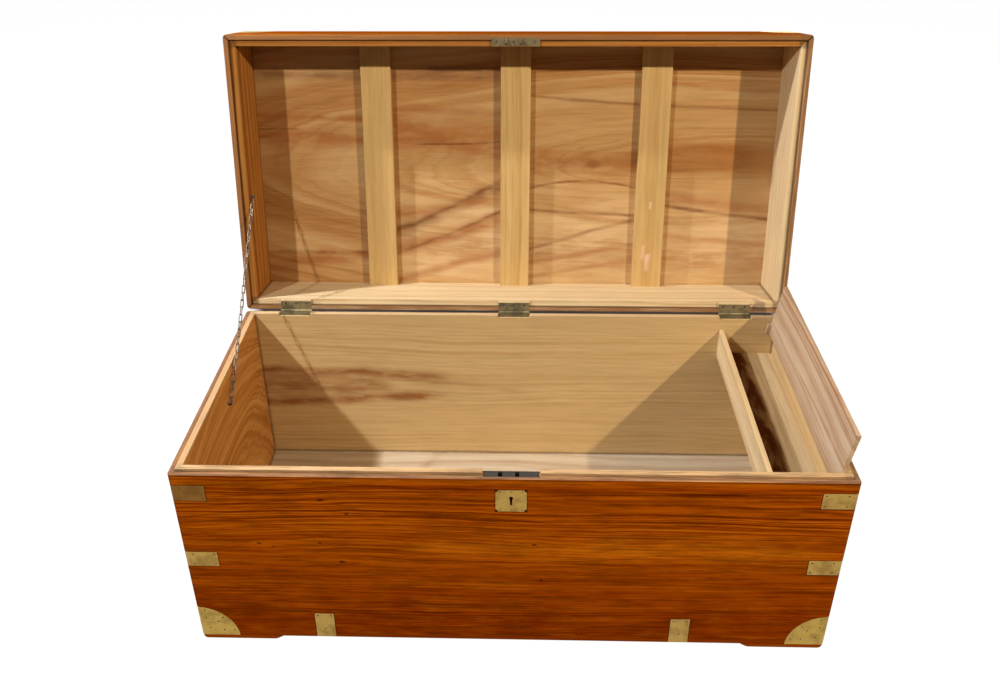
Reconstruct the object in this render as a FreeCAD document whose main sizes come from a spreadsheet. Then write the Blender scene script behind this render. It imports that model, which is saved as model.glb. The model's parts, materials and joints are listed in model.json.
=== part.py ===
"""Brass-bound camphor-wood blanket chest with a hinged lid, a till and a stay chain.

Frame: millimetres, X to the right, Y to the back, Z up. The lid stands open, held by its chain,
and the till lid stands open too. The origin is on the floor, under the middle of the whole chest
as it stands. Each piece is built about the middle of the case, with the lid closed. Its Placement
then swings it open about its hinge line, if it is on a lid, and sets it forward to the origin.
"""
import FreeCAD, Part
import math
import os
import re

os.makedirs("parts", exist_ok=True)
doc = FreeCAD.newDocument("blanket_chest")

# ---------------------------------------------------------------- driving sizes, in millimetres
# an edge shorter than NO_LENGTH along an axis is square to it; one under SHORT_EDGE stays sharp
NO_LENGTH = 1e-6
SHORT_EDGE = 0.5

SIZES = {
    # case
    "chest_width": 1050, "chest_depth": 515, "case_height": 345, "foot_height": 9,
    "board": 20, "corner_radius": 7, "arris": 1.5, "bottom_thick": 18, "bottom_lip": 8,
    "ledge": 10, "tongue_height": 4.5, "tongue_gap": 0.5,
    "joint_lap": 6, "mitre_band": 24, "lid_mitre_band": 22,
    # feet
    "foot_length": 123, "foot_slope": 16, "foot_depth": 75, "foot_corner": 10, "foot_round": 4,
    # lid
    "lid_frame": 122, "lid_panel": 18, "lid_round": 5, "rim_gap": 0.4, "lid_open": 101,
    "batten_width": 57, "batten_thick": 16, "batten_inset": 257,
    # brass let in flush, and its pins
    "brass": 2, "strap_leaf": 54, "strap_height": 30, "upper_strap_drop": 20,
    "middle_strap_rise": 168, "corner_brass": 66,
    "edge_strap_width": 32, "edge_strap_reach": 55, "edge_strap_left": 214, "edge_strap_right": 244,
    "pin_radius": 1.5, "pin_length": 10, "pin_inset": 5,
    # escutcheon and keyhole
    "escutcheon_width": 48, "escutcheon_height": 42, "escutcheon_drop": 21, "escutcheon_notch": 4,
    "key_round": 3.3, "key_slot": 3.6, "key_length": 17,
    # hinges and screws
    "hinge_length": 60, "hinge_leaf": 17, "hinge_inset": 68, "leaf_thick": 1.8,
    "knuckle_radius": 3.2, "knuckle_gap": 0.3, "knuckle_room": 0.6, "hinge_pin": 1.5,
    "axis_offset": 2, "running_gap": 0.05, "screw_head": 2.7, "screw_shank": 1.5, "screw_length": 12,
    "selvedge_margin": 0.8, "cup_margin": 2,
    # lock
    "lock_length": 86, "lock_width": 14, "lock_setback": 5.5, "lock_drop": 58, "lock_plate": 2,
    "lock_case_length": 72, "lock_case_rise": 6, "lock_wall": 1.2, "post_radius": 2,
    "post_left": 20, "post_right": 16, "bolt_thick": 3.6, "bolt_bar": 9, "bolt_drop": 19,
    "bolt_inset": 4, "bolt_throw": 8, "bolt_arm": 4, "bolt_start": 1,
    "lever_thick": 1.5, "lever_width": 7, "lever_tail": 4, "lever_reach": 12, "lever_belly": 9,
    "lever_spring": 0.6,
    # link plate and its two loops
    "loop_spacing": 26, "loop_shift": -4, "loop_thick": 4, "loop_width": 10, "loop_drop": 12.5,
    "loop_hole": 3.2, "loop_rim": 1.6, "slot_gap": 1.3,
    # till
    "till_width": 98, "till_wall": 8, "till_drop": 24, "till_depth": 51, "till_bottom": 7,
    "till_housing": 5, "till_groove": 2, "till_groove_drop": 12,
    "till_lid_thick": 7, "till_lid_overlap": 4, "till_lid_gap": 0.3, "till_lid_round": 1.2,
    "till_pivot_inset": 8, "till_pivot": 3, "till_heel": 6.6, "till_end_gap": 1,
    "till_ear": 12, "till_ear_width": 9, "till_ear_drop": 7,
    # end handles
    "handle_width": 116, "handle_height": 66, "handle_rise": 215, "handle_corner": 9,
    "pan_width": 94, "pan_height": 46, "pan_depth": 10, "pan_wall": 1.5, "pan_corner": 8,
    "lug_height": 9, "bail_width": 70, "bail_drop": 25, "bail_radius": 3.5, "bail_pivot": 2.2,
    "bail_depth": 5, "bail_gap": 0.5, "bail_fall": 10.5,
    # stay chain
    "chain_wire": 1.8, "chain_pitch": 15, "chain_width": 7, "chain_slack": 0.3, "chain_stand": 6,
    "chain_base_setback": 252, "chain_base_drop": 49, "chain_lid_reach": 219, "chain_lid_rise": 18.5,
    "staple_wire": 2.2, "staple_legs": 9, "staple_hold": 8,
}
CASE_TAILS = 6
LID_TAILS = 2
TAIL_WIDE = 0.38
TAIL_NARROW = 0.29
KNUCKLES = 5

sheet = doc.addObject("Spreadsheet::Sheet", "sizes")
for row, (alias, value) in enumerate(SIZES.items(), start=1):
    sheet.set("A%d" % row, alias)
    sheet.set("B%d" % row, str(value))
    sheet.setAlias("B%d" % row, alias)
doc.recompute()

# ------------------------------------------------------- places worked out from the driving sizes
PLACES = {
    "half_width": "chest_width / 2",
    "half_depth": "chest_depth / 2",
    "ledge_top": "foot_height + case_height",
    "wall_foot": "foot_height + bottom_lip",
    "floor_top": "foot_height + bottom_thick",
    "tongue_top": "ledge_top + tongue_height",
    "inner_width": "chest_width - 2 * board",
    "inner_depth": "chest_depth - 2 * board",
    "inner_side": "half_width - board",
    "inner_back": "half_depth - board",
    "lid_rim": "ledge_top + rim_gap",
    "panel_foot": "lid_rim + lid_frame",
    "lid_top": "panel_foot + lid_panel",
    "axis_back": "half_depth + axis_offset",
    "axis_up": "ledge_top + rim_gap / 2",
    "lock_front": "lock_setback - half_depth",
    "lock_middle": "lock_front + lock_width / 2",
    "lock_shelf": "ledge_top - lock_plate",
    "loop_eye": "lid_rim - loop_drop + loop_hole + loop_rim",
    "lock_foot": "ledge_top - lock_drop + lock_case_rise",
    "lock_case_depth": "board - lock_setback - lock_plate",
    "bar_foot": "loop_eye - bolt_drop",
    "post_up": "bar_foot + bolt_bar / 2",
    "key_middle": "ledge_top - escutcheon_drop - escutcheon_height / 2",
    "key_top": "key_middle + key_length / 2 - key_round",
    "hinge_middle": "half_width - hinge_inset - hinge_length / 2",
    "batten_middle": "half_width - batten_inset",
    "till_edge": "inner_side - till_width",
    "till_top": "ledge_top - till_drop",
    "till_floor": "till_top - till_depth",
    "till_length": "inner_depth + 2 * till_housing",
    "till_axis_side": "inner_side - till_pivot_inset",
    "till_axis_up": "till_top + till_lid_gap + till_lid_thick / 2",
    "till_lid_length": "inner_depth - 2 * till_end_gap",
    "till_lid_edge": "till_edge - till_lid_overlap",
    "pan_back": "half_width - pan_depth",
    "bail_side": "half_width - bail_depth",
    "bail_axis_up": "handle_rise + pan_height / 2 - bail_fall",
    # how far the open lid reaches behind its hinge line, and half of what it adds to the depth
    "lid_reach": "(half_depth - lid_round) * abs(cos(lid_open)) - axis_back * cos(lid_open)"
                 " + (lid_top - lid_round - axis_up) * sin(lid_open) + lid_round",
    "forward": "(axis_back + lid_reach - half_depth) / 2",
    # how far a cutting tool runs past the face that it opens
    "past": "1",
}
# The open till lid leans on the top inner corner of the right-hand tongue. Its outer face lies
# half a thickness from the pivot, so the lean follows from the corner's distance and direction.
CORNER_SIDE = "(inner_side - till_axis_side)"
CORNER_UP = "(tongue_top - till_axis_up)"
CORNER_REACH = "sqrt(%s ^ 2 + %s ^ 2)" % (CORNER_SIDE, CORNER_UP)
PLACES["till_open"] = "90 + (acos((till_lid_thick / 2 + till_lid_gap) / %s) - atan(%s / %s)) / 1deg" % (
    CORNER_REACH, CORNER_UP, CORNER_SIDE)

NAMES = re.compile(r"[a-z_]+[a-z0-9_]*")
places = doc.addObject("App::VarSet", "places")


def tie(expression):
    """Point each name in an expression at its sheet cell or at its worked-out place."""
    def owner(match):
        word = match.group(0)
        if word in SIZES:
            return "sizes." + word
        if word in PLACES:
            return "places." + word
        return word
    return NAMES.sub(owner, str(expression))


for name, expression in PLACES.items():
    places.addProperty("App::PropertyFloat", name)
    places.setExpression(name, tie(expression))
doc.recompute()


def size(name):
    """The present value of a sheet cell or of a worked-out place."""
    if name in SIZES:
        return float(sheet.get(name))
    return float(getattr(places, name))


# --------------------------------------------------------------------------------- small makers
def bind(thing, **expressions):
    for prop, expression in expressions.items():
        thing.setExpression(prop.replace("__", "."), tie(expression))
    return thing


def block(name, low, dims):
    """A box from its low corner (x, y, z) and its three dimensions, all expressions."""
    made = doc.addObject("Part::Box", name)
    bind(made, Length=dims[0], Width=dims[1], Height=dims[2])
    return bind(made, Placement__Base__x=low[0], Placement__Base__y=low[1], Placement__Base__z=low[2])


TURNS = {
    "x": FreeCAD.Rotation(FreeCAD.Vector(0, 1, 0), 90),
    "y": FreeCAD.Rotation(FreeCAD.Vector(1, 0, 0), -90),
    "z": FreeCAD.Rotation(),
}


def rod(name, low, radius, length, along):
    """A cylinder whose axis starts at low and runs along +x, +y or +z."""
    made = doc.addObject("Part::Cylinder", name)
    bind(made, Radius=radius, Height=length)
    made.Placement.Rotation = TURNS[along]
    return bind(made, Placement__Base__x=low[0], Placement__Base__y=low[1], Placement__Base__z=low[2])


def wedge(name, x_range, x_far, y_range, z_range, z_far):
    """A block whose X and Z ranges change from the near side in Y to the far side."""
    made = doc.addObject("Part::Wedge", name)
    return bind(made, Xmin=x_range[0], Xmax=x_range[1], X2min=x_far[0], X2max=x_far[1],
                Ymin=y_range[0], Ymax=y_range[1], Zmin=z_range[0], Zmax=z_range[1],
                Z2min=z_far[0], Z2max=z_far[1])


def ball(name, centre, radius):
    made = doc.addObject("Part::Sphere", name)
    bind(made, Radius=radius)
    return bind(made, Placement__Base__x=centre[0], Placement__Base__y=centre[1],
                Placement__Base__z=centre[2])


def fuse(name, *shapes):
    made = doc.addObject("Part::MultiFuse", name)
    made.Shapes = list(shapes)
    return made


def common(name, *shapes):
    made = doc.addObject("Part::MultiCommon", name)
    made.Shapes = list(shapes)
    return made


def cut(name, base, *tools):
    made = doc.addObject("Part::Cut", name)
    made.Base = base
    made.Tool = tools[0] if len(tools) == 1 else fuse(name + "_tools", *tools)
    return made


def mirror(name, source, normal):
    made = doc.addObject("Part::Mirroring", name)
    made.Source = source
    made.Normal = normal
    return made


LEFT_RIGHT = (1, 0, 0)
FRONT_BACK = (0, 1, 0)


def to_corners(name, front_right):
    """A piece at the front right corner and its three mirror images."""
    front_left = mirror(name + "_at_front_left", front_right, LEFT_RIGHT)
    return {"front_right": front_right, "front_left": front_left,
            "back_right": mirror(name + "_at_back_right", front_right, FRONT_BACK),
            "back_left": mirror(name + "_at_back_left", front_left, FRONT_BACK)}


def fillet(name, base, radius, picks):
    """Round the edges of base that picks() accepts."""
    doc.recompute()
    made = doc.addObject("Part::Fillet", name)
    made.Base = base
    edges = enumerate(base.Shape.Edges, start=1)
    made.Edges = [(number, radius, radius) for number, edge in edges if picks(edge)]
    return made


def upright(edge):
    box = edge.BoundBox
    return box.ZLength > SHORT_EDGE and box.XLength < NO_LENGTH and box.YLength < NO_LENGTH


def level_at(height):
    def picks(edge):
        box = edge.BoundBox
        return abs(box.ZMin - height) < NO_LENGTH and box.ZLength < NO_LENGTH
    return picks


STAND = "placement(vector(0; -forward; 0); rotation(vector(0; 0; 1); 0))"
LID_SWING = ("placement(vector(0; -forward; 0); rotation(vector(1; 0; 0); -lid_open);"
             " vector(0; axis_back; axis_up))")
TILL_SWING = ("placement(vector(0; -forward; 0); rotation(vector(0; 1; 0); till_open);"
              " vector(till_axis_side; 0; till_axis_up))")
NODES = []


def node(label, shape, swing=STAND):
    """Name a finished piece; the label is its node name and its file name."""
    made = doc.addObject("Part::Refine", "piece_" + label)
    made.Source = shape
    return finish(made, label, swing)


def group(label, shapes, swing=STAND):
    """Several separate solids that share one node."""
    made = doc.addObject("Part::Compound", "piece_" + label)
    made.Links = list(shapes)
    return finish(made, label, swing)


def finish(made, label, swing):
    made.Label = label
    if made.Label != label:
        raise RuntimeError("another object already has the label " + label)
    made.setExpression("Placement", tie(swing))
    NODES.append(made)
    return made


# ------------------------------------------------------------------- outer form of case and lid
def rounded_block(name, low, dims, corner, edge_heights):
    """A block with rounded corner edges, and softer edges round its faces at edge_heights."""
    made = fillet(name + "_corners", block(name + "_plain", low, dims), corner, upright)
    for number, (height, radius) in enumerate(edge_heights):
        made = fillet(f"{name}_edge_{number}", made, radius, level_at(height))
    return made


case_body = rounded_block(
    "case_body", ("-half_width", "-half_depth", "foot_height"),
    ("chest_width", "chest_depth", "case_height"), size("corner_radius"),
    [(size("foot_height"), size("arris")), (size("ledge_top"), size("arris"))])
tongue_body = rounded_block(
    "tongue_body", ("ledge - half_width", "ledge - half_depth", "floor_top"),
    ("chest_width - 2 * ledge", "chest_depth - 2 * ledge", "tongue_top - floor_top"),
    size("arris"), [(size("tongue_top"), size("arris") / 2)])
case_form = fuse("case_form", case_body, tongue_body)

# The tongue stops short of the lock and of each hinge, and the lid's recess is left filled there.
HINGE_PLACES = {"left": "-hinge_middle", "centre": "0", "right": "hinge_middle"}
tongue_stop = block("tongue_stop", ("-lock_length / 2 - slot_gap", "-half_depth", "ledge_top"),
                    ("lock_length + 2 * slot_gap", "board + slot_gap", "2 * tongue_height"))
hinge_stops = []
hinge_seats = []
for side, middle in HINGE_PLACES.items():
    hinge_stops.append(block(
        "hinge_stop_" + side,
        (f"{middle} - hinge_length / 2 - slot_gap", "inner_back - slot_gap", "ledge_top"),
        ("hinge_length + 2 * slot_gap", "board + slot_gap", "2 * tongue_height")))
    hinge_seats.append(block(
        "hinge_seat_" + side, (f"{middle} - hinge_length / 2", "inner_back", "lid_rim - past"),
        ("hinge_length", "board", "tongue_height + tongue_gap + past")))
lid_body = rounded_block(
    "lid_body", ("-half_width", "-half_depth", "lid_rim"),
    ("chest_width", "chest_depth", "lid_top - lid_rim"), size("corner_radius"),
    [(size("lid_rim"), size("arris")), (size("lid_top"), size("lid_round"))])
recess = block(
    "recess", ("ledge - tongue_gap - half_width", "ledge - tongue_gap - half_depth", "lid_rim - past"),
    ("chest_width - 2 * ledge + 2 * tongue_gap", "chest_depth - 2 * ledge + 2 * tongue_gap",
     "tongue_height + tongue_gap + past"))
link_seat = block("link_seat", ("-lock_length / 2", "-half_depth", "lid_rim - past"),
                  ("lock_length", "board", "tongue_height + tongue_gap + past"))


# ------------------------------------------------------------------------------ corner joints
def end_board(name, low, high, mitre_low, mitre_high, tails):
    """The right-hand end board, tailed into the front and back boards and mitred at its rim.

    low and high bound the whole board, mitre_low and mitre_high bound its mitred band, and the
    rest of its height carries the dovetails, which stop short of the front face by the lap.
    """
    main = block(name + "_main", ("inner_side", "-inner_back", low),
                 ("board", "inner_depth", f"{high} - ({low})"))
    square = block(name + "_square", ("inner_side", "-half_depth", mitre_low),
                   ("board", "board", f"{mitre_high} - ({mitre_low})"))
    kept = wedge(name + "_kept", ("inner_side", "half_width"), ("inner_side", "inner_side"),
                 ("-half_depth", "-inner_back"), (mitre_low, mitre_high), (mitre_low, mitre_high))
    front = [cut(name + "_mitre", square, kept)]
    joint_low, joint_high = (mitre_high, high) if mitre_low == low else (low, mitre_low)
    pitch = f"({joint_high} - ({joint_low})) / {tails}"
    for count in range(tails):
        middle = f"{joint_low} + {pitch} * {count + 0.5}"
        front.append(wedge(
            f"{name}_tail_{count}", ("inner_side", "half_width"), ("inner_side", "half_width"),
            ("joint_lap - half_depth", "-inner_back"),
            (f"{middle} - {pitch} * {TAIL_WIDE}", f"{middle} + {pitch} * {TAIL_WIDE}"),
            (f"{middle} - {pitch} * {TAIL_NARROW}", f"{middle} + {pitch} * {TAIL_NARROW}")))
    ends = fuse(name + "_front_end", *front)
    return fuse(name, main, ends, mirror(name + "_back_end", ends, FRONT_BACK))


case_end_right = end_board("case_end", "wall_foot", "tongue_top",
                           "tongue_top - mitre_band", "tongue_top", CASE_TAILS)
case_end_left = mirror("case_end_left", case_end_right, LEFT_RIGHT)
case_front = block("case_front", ("-half_width", "-half_depth", "wall_foot"),
                   ("chest_width", "board", "tongue_top - wall_foot"))
lid_end_right = end_board("lid_end", "lid_rim", "panel_foot",
                          "lid_rim", "lid_rim + lid_mitre_band", LID_TAILS)
lid_end_left = mirror("lid_end_left", lid_end_right, LEFT_RIGHT)
lid_front = block("lid_front", ("-half_width", "-half_depth", "lid_rim"),
                  ("chest_width", "board", "lid_frame"))

# ------------------------------------------------------------------------- pins and screws
def pin(at, inward, radius, length):
    return Part.makeCylinder(radius, length, FreeCAD.Vector(*at), FreeCAD.Vector(*inward))


def case_pin(at, inward):
    return pin(at, inward, size("pin_radius"), size("pin_length"))


def screw(at, inward):
    """A countersunk screw whose head is flush at the point given."""
    head = size("screw_head")
    shank = size("screw_shank")
    start = FreeCAD.Vector(*at)
    axis = FreeCAD.Vector(*inward)
    cone = Part.makeCone(head, shank, head - shank, start, axis)
    body = Part.makeCylinder(shank, size("screw_length") - head + shank, start + axis * (head - shank), axis)
    return cone.fuse(body).removeSplitter()


def feature(name, shapes):
    """A document object that holds shapes worked out from the sheet."""
    made = doc.addObject("Part::Feature", name)
    made.Shape = Part.makeCompound(shapes)
    return made


def flip(shape, normal):
    return shape.mirror(FreeCAD.Vector(0, 0, 0), FreeCAD.Vector(*normal))


def leaf_spots(foot):
    """Four pins on one leaf of a corner strap, as distance from the corner and height."""
    inset = size("pin_inset")
    return [(along, foot + up) for along in (3 * inset, size("strap_leaf") - inset)
            for up in (inset, size("strap_height") - inset)]


# Pins of a quarter-round corner brass: share of its pinned radius, and degrees from the level.
CORNER_PINS = ((1, 13), (1, 45), (1, 77), (0.72, 18), (0.78, 45), (0.72, 72), (0.42, 45))


def corner_spots():
    rim = size("corner_brass") - 1.3 * size("pin_inset")
    return [(share * rim * math.cos(math.radians(angle)), share * rim * math.sin(math.radians(angle)))
            for share, angle in CORNER_PINS]


half_width = size("half_width")
half_depth = size("half_depth")


def corner_pins(spots):
    """Pins in the front and right-hand faces near their corner, from (distance, height) pairs."""
    front = [case_pin((half_width - along, -half_depth, up), (0, 1, 0)) for along, up in spots]
    side = [case_pin((half_width, along - half_depth, up), (-1, 0, 0)) for along, up in spots]
    return front + side


strap_spots = leaf_spots(size("ledge_top") - size("upper_strap_drop") - size("strap_height"))
strap_spots += leaf_spots(size("middle_strap_rise"))
foot_spots = [(along, size("foot_height") + up) for along, up in corner_spots()]
top_spots = [(along, size("lid_top") - up) for along, up in corner_spots()]
case_corner_pins = feature("case_corner_pins", corner_pins(strap_spots + foot_spots))
lid_corner_pins = feature("lid_corner_pins", corner_pins(top_spots))

edge_pins = []
for middle in (size("edge_strap_left") - half_width, half_width - size("edge_strap_right")):
    wide = size("edge_strap_width") / 2 - size("pin_inset")
    high = size("foot_height") + size("edge_strap_reach") - size("pin_inset")
    low = size("foot_height") + 4 * size("pin_inset")
    for across, up in ((-wide, high), (wide, high), (0, low)):
        edge_pins.append(case_pin((middle + across, -half_depth, up), (0, 1, 0)))
    under = size("edge_strap_reach") - size("pin_inset") - half_depth
    edge_pins.append(case_pin((middle, under, size("foot_height")), (0, 0, 1)))
front_edge_pins = feature("front_edge_pins", edge_pins)

ESCUTCHEON_PINS = [(across, up) for across in (-0.36, 0, 0.36) for up in (-0.42, 0.42)]
plate_pins = []
for across, up in ESCUTCHEON_PINS:
    height = size("key_middle") + up * size("escutcheon_height")
    plate_pins.append(pin((across * size("escutcheon_width"), -half_depth, height), (0, 1, 0),
                          0.8 * size("pin_radius"), size("lock_setback") - 1))
escutcheon_pins = feature("escutcheon_pins", plate_pins)

LEAF_SCREWS = (-0.34, 0, 0.34)
leaf_row = half_depth - 0.7 * size("hinge_leaf")
hinge_middles = (-size("hinge_middle"), 0, size("hinge_middle"))
leaf_screw_places = [middle + share * size("hinge_length")
                     for middle in hinge_middles for share in LEAF_SCREWS]
base_leaf_screws = feature("base_leaf_screws", [
    screw((across, leaf_row, size("ledge_top")), (0, 0, -1)) for across in leaf_screw_places])
lid_leaf_screws = feature("lid_leaf_screws", [
    screw((across, leaf_row, size("lid_rim")), (0, 0, 1)) for across in leaf_screw_places])
link_screws = feature("link_screws", [
    screw((across, size("lock_middle"), size("lid_rim")), (0, 0, 1))
    for across in (-0.4 * size("lock_length"), size("loop_shift"), 0.4 * size("lock_length"))])
selvedge_end = size("lock_length") / 2 - size("screw_head") - size("selvedge_margin")
selvedge_screws = feature("selvedge_screws", [
    screw((side * selvedge_end, size("lock_middle"), size("ledge_top")), (0, 0, -1)) for side in (-1, 1)])
cup_end = size("handle_width") / 2 - size("screw_head") - size("cup_margin")
cup_screws = feature("cup_screws", [
    screw((half_width, side * cup_end, size("handle_rise")), (-1, 0, 0)) for side in (-1, 1)])
cup_screws_left = mirror("cup_screws_left", cup_screws, LEFT_RIGHT)


def all_corners(name, source):
    """The source at the front right corner and its three mirror images, as one compound."""
    made = doc.addObject("Part::Compound", name)
    made.Links = list(to_corners(name, source).values())
    return made


def both(name, source, normal):
    made = doc.addObject("Part::Compound", name)
    made.Links = [source, mirror(name + "_twin", source, normal)]
    return made


# ------------------------------------------------------------------------------ flush brasswork
def skin(name, form, low, dims):
    """The outer layer of a form, as thick as the brass: the form less a smaller rounded core."""
    core = fillet(name + "_core", block(name + "_core_plain", low, dims),
                  size("corner_radius") - size("brass"), upright)
    return cut(name, form, core)


case_skin = skin("case_skin", case_body, ("brass - half_width", "brass - half_depth", "foot_height + brass"),
                 ("chest_width - 2 * brass", "chest_depth - 2 * brass", "case_height"))
lid_skin = skin("lid_skin", lid_body, ("brass - half_width", "brass - half_depth", "lid_rim - past"),
                ("chest_width - 2 * brass", "chest_depth - 2 * brass", "lid_top - brass - lid_rim + past"))


def corner_strap(name, foot):
    reach = block(name + "_reach", ("half_width - strap_leaf", "-half_depth", foot),
                  ("strap_leaf", "strap_leaf", "strap_height"))
    return common(name + "_form", case_skin, reach)


def corner_cap(name, form, height):
    ball_form = ball(name + "_ball", ("half_width", "-half_depth", height), "corner_brass")
    return common(name + "_form", form, ball_form)


upper_strap = corner_strap("upper_strap", "ledge_top - upper_strap_drop - strap_height")
middle_strap = corner_strap("middle_strap", "middle_strap_rise")
corner_brass = corner_cap("corner_brass", case_skin, "foot_height")
lid_brass = corner_cap("lid_brass", lid_skin, "lid_top")


def edge_strap(name, middle):
    """A short strap on the front face that turns under the bottom edge."""
    reach = block(name + "_reach", (f"{middle} - edge_strap_width / 2", "-half_depth", "foot_height"),
                  ("edge_strap_width", "edge_strap_reach", "edge_strap_reach"))
    return common(name + "_form", case_skin, reach)


edge_straps = [edge_strap("edge_strap_at_left", "edge_strap_left - half_width"),
               edge_strap("edge_strap_at_right", "half_width - edge_strap_right")]

# ----------------------------------------------------------------------- escutcheon and keyhole
escutcheon_blank = block("escutcheon_blank",
                         ("-escutcheon_width / 2", "-half_depth", "key_middle - escutcheon_height / 2"),
                         ("escutcheon_width", "brass", "escutcheon_height"))
notches = [
    rod(f"notch_{side}_{end}",
        (f"{side} * escutcheon_width / 2", "-half_depth - past",
         f"key_middle + {end} * escutcheon_height / 2"),
        "escutcheon_notch", "brass + 2 * past", "y")
    for side in (-1, 1) for end in (-1, 1)]
key_depth = "lock_setback + lock_wall + 2 * past"
keyhole = fuse(
    "keyhole",
    rod("key_round_hole", ("0", "-half_depth - past", "key_top"), "key_round", key_depth, "y"),
    block("key_slot_hole", ("-key_slot / 2", "-half_depth - past", "key_top - key_length + key_round"),
          ("key_slot", key_depth, "key_length - key_round")))

# --------------------------------------------------------------------------------------- hinges
knuckle_step = f"hinge_length / {KNUCKLES}"


def hinge_leaf(name, middle, foot, own, bore_radius):
    """One leaf with its own knuckles; own(k) says which of the knuckles belong to it."""
    start = f"{middle} - hinge_length / 2"
    plate = block(name + "_plate", (start, "half_depth - hinge_leaf", foot),
                  ("hinge_length", "hinge_leaf + axis_offset", "leaf_thick"))
    rods = []
    rooms = []
    for k in range(KNUCKLES):
        at = f"{start} + {k} * {knuckle_step}"
        if own(k):
            rods.append(rod(f"{name}_knuckle_{k}", (f"{at} + knuckle_gap / 2", "axis_back", "axis_up"),
                            "knuckle_radius", f"{knuckle_step} - knuckle_gap", "x"))
        else:
            rooms.append(rod(f"{name}_room_{k}", (f"{at} - knuckle_gap / 2", "axis_back", "axis_up"),
                             "knuckle_radius + knuckle_gap", f"{knuckle_step} + knuckle_gap", "x"))
    bore = rod(name + "_bore", (f"{start} - past", "axis_back", "axis_up"), bore_radius,
               "hinge_length + 2 * past", "x")
    notched = cut(name + "_notched", plate, *rooms)
    return cut(name + "_bored", fuse(name + "_rolled", notched, *rods), bore)


base_leaves = {}
lid_leaves = {}
hinge_pins = []
knuckle_rooms = []
for side, middle in HINGE_PLACES.items():
    start = f"{middle} - hinge_length / 2"
    base_leaves[side] = hinge_leaf("base_leaf_" + side, middle, "ledge_top - leaf_thick",
                                   lambda k: k % 2 == 0, "hinge_pin")
    lid_leaves[side] = hinge_leaf("lid_leaf_" + side, middle, "lid_rim",
                                  lambda k: k % 2 == 1, "hinge_pin + running_gap")
    hinge_pins.append(rod("hinge_pin_" + side, (start, "axis_back", "axis_up"), "hinge_pin",
                          "hinge_length", "x"))
    knuckle_rooms.append(rod("knuckle_room_" + side, (start, "axis_back", "axis_up"),
                             "knuckle_radius + knuckle_room", "hinge_length", "x"))

# ------------------------------------------------------------------------ lock and link plate
LOOP_PLACES = ("loop_shift - loop_spacing / 2", "loop_shift + loop_spacing / 2")
POST_PLACES = ("-post_left", "post_right")
lock_end = "lock_case_length / 2"
selvedge = block("selvedge", ("-lock_length / 2", "lock_front", "lock_shelf"),
                 ("lock_length", "board - lock_setback", "lock_plate"))
back_plate = block("back_plate", ("-lock_length / 2", "-inner_back - lock_plate", "ledge_top - lock_drop"),
                   ("lock_length", "lock_plate", "lock_drop"))
loop_slots = [
    block(f"loop_slot_{number}",
          (f"{at} - loop_thick / 2 - slot_gap", "lock_middle - loop_width / 2 - slot_gap / 2",
           "lock_shelf - past"),
          ("loop_thick + 2 * slot_gap", "loop_width + slot_gap", "lock_plate + 2 * past"))
    for number, at in enumerate(LOOP_PLACES)]
lock_block = block("lock_block", (f"-{lock_end}", "lock_front", "lock_foot"),
                   ("lock_case_length", "lock_case_depth", "lock_shelf - lock_foot"))
lock_room = block("lock_room", (f"lock_wall - {lock_end}", "lock_front + lock_wall", "lock_foot + lock_wall"),
                  ("lock_case_length - 2 * lock_wall", "lock_case_depth", "lock_shelf - lock_foot"))
lock_case = cut("lock_case_open", lock_block, lock_room, keyhole)
lock_pocket = fuse("lock_pocket", lock_block, selvedge, back_plate)

posts = [
    rod(f"post_{number}", (at, "lock_front + lock_wall", "post_up"), "post_radius",
        "lock_case_depth", "y")
    for number, at in enumerate(POST_PLACES)]
lock_plate = cut("lock_plate_open", fuse("lock_angle", selvedge, back_plate, *posts), *loop_slots)
key_pin = rod("key_pin", ("0", "lock_front + lock_wall + past", "key_top"), "key_slot / 2 - knuckle_gap",
              "lock_case_depth - lock_wall - past", "y")

# The bolt is a bar with two hooks, whose fingers pass through the loops when it is thrown.
bolt_front = "lock_middle - bolt_thick / 2"
bolt_parts = [block("bolt_bar_form", (f"bolt_inset - {lock_end}", bolt_front, "bar_foot"),
                    ("lock_case_length - 2 * bolt_inset - bolt_throw", "bolt_thick", "bolt_bar"))]
for number, at in enumerate(LOOP_PLACES):
    hook = f"{at} - loop_thick / 2 - bolt_start - bolt_throw - bolt_arm"
    bolt_parts.append(block(f"bolt_arm_{number}", (hook, bolt_front, "bar_foot"),
                            ("bolt_arm", "bolt_thick", "loop_eye + bolt_thick / 2 - bar_foot")))
    bolt_parts.append(block(f"bolt_finger_{number}", (hook, bolt_front, "loop_eye - bolt_thick / 2"),
                            ("bolt_arm + bolt_throw", "bolt_thick", "bolt_thick")))
post_slots = [
    block(f"post_slot_{number}",
          (f"{at} - bolt_throw - post_radius - knuckle_gap", "lock_front",
           "post_up - post_radius - running_gap"),
          ("bolt_throw + 2 * post_radius + 2 * knuckle_gap", "board", "2 * post_radius + 2 * running_gap"))
    for number, at in enumerate(POST_PLACES)]
lock_bolt = cut("bolt_slotted", fuse("bolt_form", *bolt_parts), *post_slots)

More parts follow.
